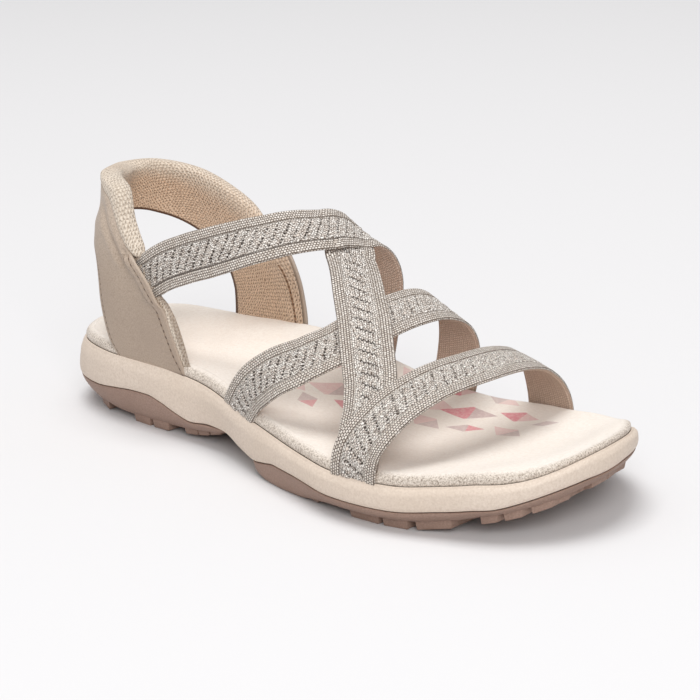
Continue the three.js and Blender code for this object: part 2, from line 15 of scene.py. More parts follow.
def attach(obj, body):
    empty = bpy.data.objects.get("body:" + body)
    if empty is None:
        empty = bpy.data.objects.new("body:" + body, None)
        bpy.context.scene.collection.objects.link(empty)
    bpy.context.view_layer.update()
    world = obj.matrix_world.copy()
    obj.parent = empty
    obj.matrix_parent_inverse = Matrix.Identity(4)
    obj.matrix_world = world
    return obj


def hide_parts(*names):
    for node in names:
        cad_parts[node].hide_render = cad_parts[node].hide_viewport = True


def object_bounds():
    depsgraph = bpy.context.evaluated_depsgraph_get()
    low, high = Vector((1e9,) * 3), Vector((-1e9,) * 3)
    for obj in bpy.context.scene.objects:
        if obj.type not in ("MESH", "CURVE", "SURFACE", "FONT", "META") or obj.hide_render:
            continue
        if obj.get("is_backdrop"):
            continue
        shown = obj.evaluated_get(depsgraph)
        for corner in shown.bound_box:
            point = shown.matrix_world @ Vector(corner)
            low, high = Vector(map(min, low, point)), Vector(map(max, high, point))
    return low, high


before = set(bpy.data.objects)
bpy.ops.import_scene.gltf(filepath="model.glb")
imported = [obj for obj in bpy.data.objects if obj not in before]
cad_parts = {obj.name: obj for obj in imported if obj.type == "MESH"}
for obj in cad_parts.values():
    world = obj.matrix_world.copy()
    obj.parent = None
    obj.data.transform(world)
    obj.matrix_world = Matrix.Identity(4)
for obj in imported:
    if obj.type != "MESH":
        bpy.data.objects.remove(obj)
cad_low, cad_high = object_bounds()
print("frame", [round(v, 4) for v in (*cad_low, *cad_high)])

# %% [markdown]
# The camera comes first, because every later look is judged through it. It could be placed
# by hand, but its place here was worked out from the picture's own perspective: a long
# lens, a little above the sandal, on the outer side of the toe.

# %% Set the camera
CAMERA_PLACE = (0.4981, -0.4770, 0.2446)
CAMERA_RIGHT = Vector((0.7078, 0.7058, -0.0291)).normalized()
CAMERA_FORWARD = Vector((-0.6820, 0.6721, -0.2884)).normalized()
CAMERA_LENS = 102.14
camera_up = CAMERA_RIGHT.cross(CAMERA_FORWARD).normalized()
turn = Matrix((CAMERA_RIGHT, camera_up, -CAMERA_FORWARD)).transposed()
bpy.ops.object.camera_add(location=CAMERA_PLACE, rotation=turn.to_euler())
camera = bpy.context.object
camera.name = "product_camera"
camera.data.lens = CAMERA_LENS
camera.data.clip_start = 0.01
bpy.context.scene.camera = camera
bpy.context.scene.view_settings.view_transform = "Standard"
print("camera", [round(v, 4) for v in camera.location])

# %% [markdown]
# The sole and the straps follow a few tables of numbers. A person could push points around
# by hand, but a table keeps every size in one place, and a smooth reading of its rows gives
# fair curves. The reading here never overshoots between two rows.

# %% Read a table as smooth curves
MM = 0.001


def smooth_column(keys, values):
    step = np.diff(keys)
    secant = np.diff(values) / step
    before = np.concatenate([secant[:1], secant])
    after = np.concatenate([secant, secant[-1:]])
    same = before * after > 0
    slope = np.where(same, 2 * before * after / np.where(same, before + after, 1), 0)

    def column(value):
        value = np.asarray(value, float)
        i = np.clip(np.searchsorted(keys, value) - 1, 0, len(keys) - 2)
        t = np.clip((value - keys[i]) / step[i], 0, 1)
        a, b = values[i], values[i + 1]
        rise = (t ** 3 - 2 * t ** 2 + t) * slope[i] + (t ** 3 - t ** 2) * slope[i + 1]
        return a + (3 * t ** 2 - 2 * t ** 3) * (b - a) + rise * step[i]

    return column


def curves(rows):
    data = np.array(sorted(rows), float)
    return [smooth_column(data[:, 0], data[:, c]) for c in range(1, data.shape[1])]


def smoothstep(value, start, end):
    t = np.clip((np.asarray(value, float) - start) / (end - start), 0, 1)
    return t * t * (3 - 2 * t)


def bump(value, centre, reach):
    return np.exp(-((np.asarray(value, float) - centre) / reach) ** 2)


def lerp(a, b, share):
    return a + (b - a) * share


def unit(vectors):
    return vectors / np.maximum(np.linalg.norm(vectors, axis=-1, keepdims=True), 1e-9)


# %% [markdown]
# The footbed line is the closed curve seen from above that everything else is measured
# from. Its half widths are shares of the ball width on the outer and the inner side.

# %% Draw the footbed line
FOOTBED_LENGTH = 252.0
BALL_WIDTH = 95.0
HEEL_LINE = 26.0
HEEL_BACK = np.array([-126.002, 1.687, 0.0])
OUTLINE = [  # share of the length, outer half width, inner half width
    (0.000, 0.000, 0.000), (0.015, 0.128, 0.178), (0.060, 0.261, 0.267),
    (0.140, 0.336, 0.303), (0.250, 0.344, 0.314), (0.360, 0.330, 0.319),
    (0.480, 0.397, 0.337), (0.600, 0.469, 0.376), (0.700, 0.519, 0.418),
    (0.780, 0.503, 0.479), (0.860, 0.423, 0.474), (0.930, 0.329, 0.389),
    (0.980, 0.175, 0.232), (1.000, -0.017, 0.017),
]


def closed_curve(points, steps=40):
    """A centripetal curve through a closed row of points, as dense points along it."""
    dense = []
    for i in range(len(points)):
        p0, p1, p2, p3 = (points[(i + k) % len(points)] for k in (-1, 0, 1, 2))
        d0, d1, d2 = (np.linalg.norm(b - a) ** 0.5 for a, b in ((p0, p1), (p1, p2), (p2, p3)))
        m1 = ((p1 - p0) / d0 - (p2 - p0) / (d0 + d1) + (p2 - p1) / d1) * d1
        m2 = ((p2 - p1) / d1 - (p3 - p1) / (d1 + d2) + (p3 - p2) / d2) * d1
        t = (np.arange(steps) / steps)[:, None]
        dense.append(p1 + m1 * (t ** 3 - 2 * t ** 2 + t) + m2 * (t ** 3 - t ** 2)
                     + (p2 - p1) * (3 * t ** 2 - 2 * t ** 3))
    return np.concatenate(dense)


rows = [(a, -outer) for a, outer, _ in OUTLINE[:-1]]
rows += [(a, inner) for a, _, inner in reversed(OUTLINE[1:])]
line_points = closed_curve(np.array(rows) * (FOOTBED_LENGTH, BALL_WIDTH))
loop = np.vstack([line_points, line_points[:1]])
loop_length = np.concatenate([[0], np.cumsum(np.linalg.norm(np.diff(loop, axis=0), axis=1))])
outline_length = loop_length[-1]
outer_half, inner_half = curves(OUTLINE)


def edge(share):
    """The footbed line's point and outward direction at shares of its length, in mm."""
    def at(s):
        length = np.mod(s, 1.0) * outline_length
        return np.stack([np.interp(length, loop_length, loop[:, k]) for k in (0, 1)], -1)
    share = np.asarray(share, float)
    along = unit(at(share + 0.002) - at(share - 0.002))
    return at(share), np.stack([along[..., 1], -along[..., 0]], -1)


def outer_edge(x):
    return -outer_half(x / FOOTBED_LENGTH) * BALL_WIDTH


def inner_edge(x):
    return inner_half(x / FOOTBED_LENGTH) * BALL_WIDTH


print("footbed line", round(outline_length, 1), "mm around")

# %% [markdown]
# The side view of the sole comes from a second table: the footbed line, the parting between
# the foam and the rubber, and the tread, all as shares of the heel line's height.

# %% Read the sole's heights
PROFILE = [  # length share, line, parting, tread, open share of the lugs, share of the inset
    (0.00, 1.000, 0.460, 0.16, 1.0, 1.00), (0.06, 1.015, 0.478, 0.07, 1.0, 1.00),
    (0.12, 1.027, 0.492, 0.02, 1.0, 1.00), (0.18, 1.027, 0.556, 0.00, 1.0, 1.00),
    (0.22, 1.027, 0.587, 0.00, 1.0, 1.00), (0.25, 1.023, 0.588, 0.00, 1.0, 1.00),
    (0.28, 1.016, 0.520, 0.02, 0.9, 1.00), (0.31, 0.990, 0.410, 0.05, 0.7, 0.95),
    (0.34, 0.960, 0.338, 0.08, 0.8, 0.80), (0.38, 0.918, 0.385, 0.18, 0.5, 0.60),
    (0.42, 0.868, 0.395, 0.28, 0.2, 0.40), (0.47, 0.803, 0.290, 0.22, 0.0, 0.30),
    (0.51, 0.755, 0.236, 0.07, 0.0, 0.20), (0.54, 0.725, 0.285, 0.01, 0.0, 0.25),
    (0.57, 0.695, 0.340, 0.00, 0.0, 0.30), (0.62, 0.650, 0.340, 0.00, 0.1, 0.50),
    (0.65, 0.635, 0.330, 0.00, 0.5, 0.65), (0.70, 0.610, 0.300, 0.00, 0.9, 0.90),
    (0.80, 0.605, 0.300, 0.00, 1.0, 1.00), (0.86, 0.668, 0.362, 0.07, 1.0, 1.00),
    (0.92, 0.770, 0.468, 0.24, 0.9, 1.00), (0.96, 0.880, 0.636, 0.41, 0.8, 0.90),
    (0.98, 0.950, 0.708, 0.49, 0.7, 0.75), (1.00, 1.050, 0.778, 0.61, 0.6, 0.60),
]
ARCH_RISE = 6.0
ARCH = 0.42, 0.14  # its place and reach, as shares of the length
ARCH_WIDTH = 0.3 * BALL_WIDTH
TOE_TILT = 0.075
TOE_TILT_RUN = 0.90, 0.97
line_share, parting_share, tread_share, web_share, inset_share = curves(PROFILE)


def length_share(x):
    return np.clip(x / FOOTBED_LENGTH, 0, 1)


def toe_tilt(x, y):
    return TOE_TILT * y * smoothstep(length_share(x), *TOE_TILT_RUN)


def line_height(x, y):
    at = length_share(x)
    arch = ARCH_RISE * bump(at, *ARCH) * smoothstep(y, 0, ARCH_WIDTH)
    return line_share(at) * HEEL_LINE + arch + toe_tilt(x, y)


def parting_height(x, y):
    return parting_share(length_share(x)) * HEEL_LINE + toe_tilt(x, y)


def tread_height(x, y):
    return tread_share(length_share(x)) * HEEL_LINE + toe_tilt(x, y)


# %% [markdown]
# Every soft form below starts as a flat grid primitive. Its rows and columns are bent into
# place, as a sculptor would pull a sheet round a last, and the grid gives each piece its own
# flat UV map in millimetres for weave and stitches. Sculpting freely could make the same
# surface, but not an even weave.

# %% Turn a grid primitive into a piece
def choose_only(piece):
    bpy.ops.object.select_all(action="DESELECT")
    piece.select_set(True)
    bpy.context.view_layer.objects.active = piece


def edit(piece, *steps):
    """Runs edit mode operators on the whole of one piece."""
    choose_only(piece)
    bpy.ops.object.mode_set(mode="EDIT")
    bpy.ops.mesh.select_all(action="SELECT")
    for operator, settings in steps:
        operator(**settings)
    bpy.ops.object.mode_set(mode="OBJECT")


WELD_GAP = 2e-6
SLIVER = 1e-7


def bent_grid(name, points, uv=None, **values):
    """A grid primitive with one vertex for each of points, given in mm of the footbed line."""
    across, along = points.shape[1], points.shape[0]
    bpy.ops.object.select_all(action="DESELECT")
    bpy.ops.mesh.primitive_grid_add(x_subdivisions=across - 1, y_subdivisions=along - 1, size=2)
    piece = bpy.context.object
    piece.name = piece.data.name = name
    start = np.zeros(len(piece.data.vertices) * 3)
    piece.data.vertices.foreach_get("co", start)
    start = start.reshape(-1, 3)
    column = np.rint((start[:, 0] + 1) / 2 * (across - 1)).astype(int)
    row = np.rint((start[:, 1] + 1) / 2 * (along - 1)).astype(int)
    placed = (points[row, column] + HEEL_BACK) * MM
    piece.data.vertices.foreach_set("co", placed.ravel())
    for key, value in values.items():
        layer = piece.data.attributes.new(key, "FLOAT", "POINT")
        layer.data.foreach_set("value", value[row, column].astype(np.float32))
    if uv is not None:
        corner = np.zeros(len(piece.data.loops), int)
        piece.data.loops.foreach_get("vertex_index", corner)
        flat = uv[row[corner], column[corner]] * MM
        piece.data.uv_layers.active.data.foreach_set("uv", flat.ravel().astype(np.float32))
    piece.data.update()
    return piece


def weld(name, pieces, angle=180):
    """Joins sheets that share their borders into one closed, smooth piece."""
    choose_only(pieces[0])
    for other in pieces[1:]:
        other.select_set(True)
    if len(pieces) > 1:
        bpy.ops.object.join()
    piece = bpy.context.object
    piece.name = piece.data.name = name
    edit(piece,
         (bpy.ops.mesh.remove_doubles, {"threshold": WELD_GAP}),
         (bpy.ops.mesh.dissolve_degenerate, {"threshold": SLIVER}),
         (bpy.ops.mesh.fill_holes, {"sides": 0}),
         (bpy.ops.mesh.select_all, {"action": "SELECT"}),
         (bpy.ops.mesh.normals_make_consistent, {"inside": False}))
    choose_only(piece)
    if angle < 180:
        bpy.ops.object.shade_smooth_by_angle(angle=math.radians(angle))
    else:
        bpy.ops.object.shade_smooth()
    print(name, len(piece.data.polygons), "faces")
    return piece


def dress(piece, material, slot, *nodes):
    """Gives a finished piece its material and hides the solids it stands for; slot is not used.
    """
    piece.data.materials.clear()
    piece.data.materials.append(material)
    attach(piece, "root")
    if nodes:
        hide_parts(*nodes)
    return piece


# %% [markdown]
# Colours are picked as they look on a screen and turned into the linear numbers that a
# shader reads. The node helpers keep the material cells short.

# %% Small helpers for materials
def colour(red, green, blue):
    linear = []
    for level in (red, green, blue):
        c = level / 255
        linear.append(c / 12.92 if c <= 0.04045 else ((c + 0.055) / 1.055) ** 2.4)
    return (*linear, 1.0)


class Finish:
    """A material whose nodes are added one by one."""

    def __init__(self, name, base, roughness, **settings):
        self.material = bpy.data.materials.new(name)
        self.material.use_nodes = True
        self.tree = self.material.node_tree
        self.shader = self.tree.nodes["Principled BSDF"]
        self.shader.inputs["Base Color"].default_value = base
        self.shader.inputs["Roughness"].default_value = roughness
        for key, value in settings.items():
            self.shader.inputs[key.replace("_", " ")].default_value = value

    def add(self, kind, inputs=None, **settings):
        node = self.tree.nodes.new("ShaderNode" + kind)
        for key, value in settings.items():
            setattr(node, key, value)
        for key, value in (inputs or {}).items():
            if isinstance(value, bpy.types.NodeSocket):
                self.tree.links.new(value, node.inputs[key])
            else:
                node.inputs[key].default_value = value
        return node

    def math(self, operation, *values):
        return self.add("Math", dict(enumerate(values)), operation=operation).outputs[0]

    def mix(self, share, a, b, blend="MIX"):
        node = self.add("Mix", data_type="RGBA", blend_type=blend)
        for index, value in ((0, share), (6, a), (7, b)):
            if isinstance(value, bpy.types.NodeSocket):
                self.tree.links.new(value, node.inputs[index])
            else:
                node.inputs[index].default_value = value
        return node.outputs[2]

    def attribute(self, name):
        return self.add("Attribute", attribute_name=name).outputs["Fac"]

    def place(self, scale, flat=False, turn=0.0):
        """Object coordinates, or the piece's own flat map, in steps of the given metres."""
        source = self.add("TexCoord").outputs["UV" if flat else "Object"]
        scale = scale if isinstance(scale, tuple) else (scale,) * 3
        return self.add("Mapping", {"Vector": source, "Rotation": (0, 0, turn),
                                    "Scale": [1 / s for s in scale]}).outputs[0]

    def noise(self, vector, detail=2.0, roughness=0.5):
        return self.add("TexNoise", {"Vector": vector, "Scale": 1.0, "Detail": detail,
                                     "Roughness": roughness}).outputs["Fac"]

    def ramp(self, value, *stops):
        node = self.add("ValToRGB", {"Fac": value})
        band = node.color_ramp
        while len(band.elements) < len(stops):
            band.elements.new(0.5)
        for element, (place, level) in zip(band.elements, stops):
            element.position = place
            element.color = level if isinstance(level, tuple) else (level, level, level, 1)
        return node.outputs[0]

    def relief(self, height, distance, strength=1.0, below=None):
        inputs = {"Height": height, "Distance": distance, "Strength": strength}
        if below is not None:
            inputs["Normal"] = below
        return self.add("Bump", inputs).outputs[0]

    def set(self, socket, value):
        self.tree.links.new(value, self.shader.inputs[socket])


# %% [markdown]
# The midsole is a block of cream foam with a fine grain. Its side bulges, tucks in under the
# arch and ends in crisp rounded lips at the footbed and at the rubber. A stack of rings
# around the footbed line follows those lips exactly, where a carved block would wander.

# %% Build rings and caps around the sole
RING = 360


def sole_ring(offset, height, count=RING):
    """A ring around the sole, moved outward by offset(x), at height(x, y)."""
    point, out = edge(np.arange(count) / count)
    x = point[:, 0]
    moved = point + out * np.broadcast_to(offset(x), x.shape)[:, None]
    return np.column_stack([moved, np.broadcast_to(height(*moved.T), x.shape)])


def cap_rows(ring, height, columns=48):
    """Rows that cross a ring from its outer to its inner side and close it."""
    half = len(ring) // 2
    a = ring[:half + 1]
    b = np.vstack([ring[:1], ring[:half - 1:-1]])
    share = (0.5 - 0.5 * np.cos(np.linspace(0, np.pi, columns + 1)))[None, :, None]
    sheet = a[:, None, :2] * (1 - share) + b[:, None, :2] * share
    z = height(sheet[..., 0], sheet[..., 1])
    z[:, 0], z[:, -1] = a[:, 2], b[:, 2]
    z[0], z[-1] = ring[0, 2], ring[half, 2]
    return np.concatenate([sheet, z[..., None]], -1)


def ringed_body(name, rings, floor, roof, columns=48, angle=180, **values):
    """A closed body from a stack of rings and a cap at each end, with values ring by ring."""
    wall = np.stack(rings)
    wall = np.concatenate([wall, wall[:, :1]], 1)
    values = {k: np.broadcast_to(np.array(v, float)[:, None], wall.shape[:2])
              for k, v in values.items()}
    sheets = [bent_grid(name, wall, **values)]
    sheets.append(bent_grid(name + "_low", cap_rows(rings[0], floor, columns)))
    sheets.append(bent_grid(name + "_top", cap_rows(rings[-1], roof, columns)))
    return weld(name, sheets, angle)


# %% Build the midsole
MIDSOLE_BULGE = 2.0
WAIST_TUCK = 1.4
FOAM_WAIST = 0.44, 0.08
SIDE = [  # height share, share of the bulge, share of the waist's tuck
    (0.00, 0.72, 1.00), (0.10, 0.88, 0.94), (0.30, 1.00, 0.70), (0.65, 0.92, 0.20),
    (0.90, 0.45, 0.00), (1.00, 0.05, 0.00),
]
LIP = 0.55
LIP_LOW, LIP_HIGH = -0.1, 0.2  # how far the lips pass the parting and the footbed line
HEEL_FLARE = 1.4
HEEL_RUN = 0.16
side_bulge, side_tuck = curves(SIDE)


def foam_ring(share, inward=0.0, lift=0.0):
    def offset(x):
        at = x / FOOTBED_LENGTH
        tuck = WAIST_TUCK * bump(at, *FOAM_WAIST)
        flare = HEEL_FLARE * (1 - smoothstep(at, 0, HEEL_RUN)) * (1 - smoothstep(share, 0, 0.9))
        return side_bulge(share) * MIDSOLE_BULGE + flare - side_tuck(share) * tuck - inward

    def height(x, y):
        return lerp(parting_height(x, y), line_height(x, y), share) + lift
    return sole_ring(offset, height)


lip_turns = np.linspace(0, math.pi / 2, 5)


def lower_lip(ring, share, radius, lift=0.0):
    """Rings that turn a wall's lower edge round, from its underside to its side."""
    return [ring(share, radius * (1 - math.sin(a)), radius * (1 - math.cos(a)) + lift)
            for a in lip_turns]


def upper_lip(ring, radius, lift=0.0):
    """Rings that turn a wall's upper edge round, from its side to its top."""
    return [ring(1, radius * (1 - math.cos(a)), radius * (math.sin(a) - 1) + lift)
            for a in lip_turns]


rings = [foam_ring(0, 4.0, 0.0), *lower_lip(foam_ring, 0, LIP, LIP_LOW)]
rings += [foam_ring(s) for s in np.linspace(0.10, 0.93, 22)]
rings += upper_lip(foam_ring, LIP, LIP_HIGH)
rings += [foam_ring(1, 0.8, 0.1), foam_ring(1, 1.0, -0.6), foam_ring(1, 5.0, -0.7)]
# Painted shade: the first ring and the top rings carry a crevice mask that darkens the foam
# where it meets the rubber and where it tucks under the footbed.
crevice = [1] + [0] * (len(rings) - 4) + [0.6, 1, 1]
FOAM_SEAT = 0.6
midsole = ringed_body("midsole_foam", rings, parting_height,
                      lambda x, y: line_height(x, y) - FOAM_SEAT, crevice=crevice)

# %% [markdown]
# The foam is matte, with pores so fine that they only break up the light. Two sizes of noise
# as bump do that better than painted dots, and a slow noise keeps the cream from being flat.

# %% Finish the foam
foam = Finish("cream_foam", colour(222, 206, 189), 0.62, Specular_IOR_Level=0.35)
grain = foam.noise(foam.place(0.0008), 4, 0.65)
drift = foam.noise(foam.place(0.03), 2)
tone = foam.mix(foam.ramp(drift, (0.35, 0.0), (0.7, 1.0)),
                colour(229, 214, 200), colour(222, 206, 190))
tone = foam.mix(foam.ramp(grain, (0.3, 0.0), (0.7, 1.0)), colour(208, 191, 175), tone)
# Painted shade: the crevice mask turns those tucked-in rings dark brown.
foam.set("Base Color", foam.mix(foam.attribute("crevice"), tone, colour(72, 58, 49)))
foam.set("Normal", foam.relief(grain, 0.0003, 0.6))
dress(midsole, foam.material, "midsole_foam", "midsole")

# %% [markdown]
# The outsole is one moulding of mauve brown rubber: a wall that is high at the heel, dips at
# the waist and wraps up at the toe, with blocks under it. The wall is a stack of rings like
# the foam's, and the blocks are bevelled boxes that sink into it.

# %% Build the outsole's wall
GROUND_INSET = 5.2
HEEL_BEVEL = 3.4
HEEL_BEVEL_RUN = 0.1
WAIST_NARROWING = 12.0
RUBBER_WAIST = 0.452, 0.036
BEVEL_CURVE = 1.8
LUG_DEPTH = 2.6
WALL_GAP = 0.45
WALL_OUT = 1.15
WALL_ROUND, WALL_LIP = 0.6, 0.35


def under_height(x, y):
    return tread_height(x, y) + LUG_DEPTH * web_share(length_share(x))


def rubber_ring(share, inward=0.0, lift=0.0):
    def offset(x):
        at = x / FOOTBED_LENGTH
        bevel = (GROUND_INSET * inset_share(length_share(x))
                 + HEEL_BEVEL * (1 - smoothstep(at, 0, HEEL_BEVEL_RUN)))
        tuck = WAIST_NARROWING * bump(at, *RUBBER_WAIST)
        flare = HEEL_FLARE * (1 - smoothstep(at, 0, HEEL_RUN))
        return WALL_OUT + flare - tuck - bevel * (1 - share) ** BEVEL_CURVE - inward

    def height(x, y):
        return lerp(under_height(x, y), parting_height(x, y) - WALL_GAP, share) + lift
    return sole_ring(offset, height)


rings = [rubber_ring(0, 2 * WALL_ROUND, 0.0), *lower_lip(rubber_ring, 0.02, WALL_ROUND)]
rings += [rubber_ring(s) for s in np.linspace(0.16, 0.92, 14)]
rings += upper_lip(rubber_ring, WALL_LIP)
rings += [rubber_ring(1, 2.0, 0.0), rubber_ring(1, 2.6, 0.6)]
wall = ringed_body("outsole_wall", rings, under_height,
                   lambda x, y: parting_height(x, y) + 0.25)

# %% Add the lugs
LUG_ROWS = [  # from, to, as shares of the length, and whether a block stands at the outer edge
    (0.024, 0.046, True), (0.092, 0.122, True), (0.137, 0.175, False), (0.192, 0.228, True),
    (0.237, 0.271, True), (0.280, 0.300, False), (0.308, 0.333, True), (0.336, 0.358, True),
    (0.362, 0.387, True), (0.622, 0.655, True), (0.666, 0.708, False), (0.723, 0.770, True),
    (0.778, 0.812, True), (0.824, 0.867, True), (0.877, 0.896, False), (0.904, 0.922, True),
    (0.930, 0.947, True), (0.956, 0.972, True),
]
TOE_LUGS = [  # from, to, as shares of the way around the footbed line
    (0.4645, 0.4786), (0.4954, 0.5115), (0.5135, 0.5360), (0.556, 0.578),
]
LUG_REACH = 14.0
LUG_CENTRE = 13.0
LUG_INSET = 4.0
HEEL_LUG_INSET = 3.2
HEEL_LUG_RUN = 0.12
TOE_LUG_INSET = 3.4
TOE_LUG_REACH = 8.0
LUG_ROOT = 1.4
LUG_FLARE = 0.5
LUG_ROUND = 0.4
CORNERS = [(False, False), (False, True), (True, False), (True, True)]  # far end, far side


def middle_line(x):
    return (outer_edge(x) + inner_edge(x)) / 2


def rubber_inset(x):
    return HEEL_LUG_INSET * (1 - smoothstep(x / FOOTBED_LENGTH, 0, HEEL_LUG_RUN))


def lug_block(corners):
    """A box primitive moved onto four corners of the sole, in mm, and rounded by a bevel."""
    bpy.ops.object.select_all(action="DESELECT")
    bpy.ops.mesh.primitive_cube_add(size=2)
    block = bpy.context.object
    middle = np.mean(list(corners.values()), 0)
    for v in block.data.vertices:
        low = v.co.z < 0
        x, y = corners[v.co.x > 0, v.co.y > 0]
        if not low:
            x, y = np.array([x, y]) + LUG_FLARE * np.sign([x - middle[0], y - middle[1]])
        z = float(tread_height(x, y) if low else under_height(x, y) + LUG_ROOT)
        v.co = ((np.array([x, y, z]) + HEEL_BACK) * MM).tolist()
    edit(block, (bpy.ops.mesh.normals_make_consistent, {"inside": False}))
    choose_only(block)
    bevel = block.modifiers.new("soft edges", "BEVEL")
    bevel.width = LUG_ROUND * MM
    bevel.segments = 2
    bpy.ops.object.modifier_apply(modifier=bevel.name)
    return block


blocks = []
for start, end, at_outer_edge in LUG_ROWS:
    spans = [
        (lambda x: outer_edge(x) + LUG_INSET + rubber_inset(x),
         lambda x: outer_edge(x) + LUG_INSET + LUG_REACH),
        (lambda x: inner_edge(x) - LUG_INSET - LUG_REACH,
         lambda x: inner_edge(x) - LUG_INSET - rubber_inset(x)),
        (lambda x: middle_line(x) - LUG_CENTRE / 2, lambda x: middle_line(x) + LUG_CENTRE / 2),
    ]
    for sides in spans[not at_outer_edge:]:
        ends = [share * FOOTBED_LENGTH for share in (start, end)]
        blocks.append(lug_block({
            (far_end, far_side): (ends[far_end], float(sides[far_side](ends[far_end])))
            for far_end, far_side in CORNERS}))
for start, end in TOE_LUGS:
    point, out = edge(np.array([start, end]))
    blocks.append(lug_block({(far_end, far_side): tuple(
        point[int(far_end)] - out[int(far_end)] * (TOE_LUG_INSET + TOE_LUG_REACH * far_side))
        for far_end, far_side in CORNERS}))
choose_only(wall)
for block in blocks:
    block.select_set(True)
bpy.ops.object.join()
outsole = bpy.context.object
outsole.name = outsole.data.name = "outsole_rubber"
bpy.ops.object.shade_smooth_by_angle(angle=math.radians(35))
print("outsole", len(blocks), "lugs,", len(outsole.data.polygons), "faces")

# %% Finish the rubber
rubber = Finish("mauve_rubber", colour(160, 134, 120), 0.55, Specular_IOR_Level=0.35)
grain = rubber.noise(rubber.place(0.0006), 3, 0.65)
drift = rubber.noise(rubber.place(0.02), 3)
tone = rubber.mix(rubber.ramp(drift, (0.3, 0.0), (0.7, 1.0)),
                  colour(166, 139, 125), colour(154, 127, 113))
rubber.set("Base Color", rubber.mix(rubber.ramp(grain, (0.3, 0.0), (0.65, 1.0)),
                                    colour(140, 114, 101), tone))
rubber.set("Normal", rubber.relief(grain, 0.00025, 0.5))
dress(outsole, rubber.material, "outsole_rubber", "outsole")

# %% [markdown]
# The footbed is a thin suede cushion. Its side is a rounded rim and its top dips into a
# shallow cup, with a soft ridge where the toes bend. One stack of rings makes the rim, and
# the cap on top is shaped by the same height rule all over, so the suede has no seam.

# %% Build the footbed
FOOTBED_RIM = 4.1
FOOTBED_CUP = 1.8
CUP_RUN = 3.0, 24.0
END_DROP = 1.1
TOE_RIDGE, RIDGE_PLACE = 1.2, (0.83, 0.035)
HEEL_DENT = 0.55
line_ring = edge(np.arange(RING) / RING)[0]


def from_line(x, y):
    """The distance from the footbed line, in mm."""
    spots = np.stack([np.ravel(x), np.ravel(y)], -1)
    gap = np.linalg.norm(spots[:, None] - line_ring[None, ::2], axis=-1).min(1)
    return gap.reshape(np.shape(x))


def end_softness(x):
    at = x / FOOTBED_LENGTH
    return smoothstep(at, 0.90, 1.0) + 0.5 * (1 - smoothstep(at, 0.0, 0.08))


def footbed_top(x, y):
    at = x / FOOTBED_LENGTH
    inside = from_line(x, y)
    cup = FOOTBED_CUP * smoothstep(inside, *CUP_RUN)
    drop = END_DROP * end_softness(x) * bump(np.maximum(inside, 3.3), 3.3, 6.0)
    ridge = TOE_RIDGE * bump(at, *RIDGE_PLACE) * smoothstep(inside, 4, 18)
    slope = 0.5 * (at - 0.28) * FOOTBED_LENGTH + (y + 14)
    dent = HEEL_DENT * bump(slope, 0, 7) * bump(at, 0.28, 0.07) * bump(y, -16, 10)
    return line_height(x, y) + FOOTBED_RIM - cup - drop + ridge - dent


RIM = [  # step up the rim, inward distance, height share
    (0.00, 1.25, -0.02), (0.10, 0.80, 0.07), (0.26, 0.50, 0.28), (0.42, 0.55, 0.48),
    (0.56, 0.85, 0.66), (0.70, 1.50, 0.82), (0.82, 2.30, 0.92), (0.92, 3.20, 0.98),
    (1.00, 4.20, 1.00),
]
rim_inward, rim_height = curves(RIM)


def rim_ring(step):
    return sole_ring(lambda x: -rim_inward(step), lambda x, y: line_height(x, y)
                     + (FOOTBED_RIM - END_DROP * end_softness(x)) * rim_height(step))


rim_steps = np.linspace(0, 1, 26)
rings = [sole_ring(lambda x: -3.0, lambda x, y: line_height(x, y) + 0.1)]
rings += [rim_ring(s) for s in rim_steps]
# The rim mask carries the speckled weave and painted shade: it is full on the lower rim and
# fades out towards the top.
rim_share = 1 - smoothstep(rim_steps, 0.58, 1.0)
# Painted shade: the seat ring and the lowest rim ring carry the crevice mask, a dark line where
# the suede sits in the foam.
footbed = ringed_body("footbed_suede", rings, lambda x, y: line_height(x, y) + 0.1,
                      footbed_top, columns=90, rim=[1, *rim_share], crevice=[1, 1] + [0] * 25)

# %% [markdown]
# Suede has no gloss, only a soft sheen from its nap, and its rim shows a speckled weave,
# painted darker than the top as shade on the rounded side. A faint print of small lozenges in
# rose, pale pink and mauve lies under the forefoot. A print could be an image, but a short
# chart of lozenges keeps its edges crisp at any size: the mapping node gives each lozenge its
# own coordinates, where it is simply |x| + |y| < 1.

# %% Finish the suede
ROSE = colour(222, 138, 146)
PINK = colour(232, 196, 192)
MAUVE = colour(203, 179, 176)
PRINT = [  # x and y in mm, half length, half width, turn in degrees, two tints, strength
    (100, 3, 9, 4.6, 20, PINK, MAUVE, 0.70), (113, -6, 10, 5.4, -12, MAUVE, PINK, 0.80),
    (113, 10, 8, 4.0, 32, ROSE, PINK, 0.95), (128, 1, 11, 6.0, 14, PINK, MAUVE, 0.85),
    (129, -13, 7, 3.8, -30, MAUVE, ROSE, 0.75), (126, 19, 10, 5.2, -8, MAUVE, PINK, 0.75),
    (144, 12, 9, 4.6, 24, ROSE, ROSE, 0.95), (142, -5, 7, 4.0, 6, ROSE, PINK, 0.85),
    (145, 26, 9, 4.6, -22, PINK, MAUVE, 0.75), (160, 17, 12, 6.4, 10, MAUVE, PINK, 0.85),
    (163, 31, 7, 3.6, 40, ROSE, PINK, 0.95), (171, 4, 9, 4.6, -16, PINK, MAUVE, 0.80),
    (177, 20, 11, 5.4, 22, ROSE, MAUVE, 0.95), (180, 36, 8, 4.2, -6, MAUVE, PINK, 0.75),
    (186, 8, 7, 3.6, 30, MAUVE, ROSE, 0.90), (194, 28, 8, 4.2, 8, ROSE, PINK, 0.95),
    (201, 13, 9, 4.4, -20, PINK, MAUVE, 0.80), (207, 26, 5, 2.8, 26, MAUVE, MAUVE, 0.75),
]
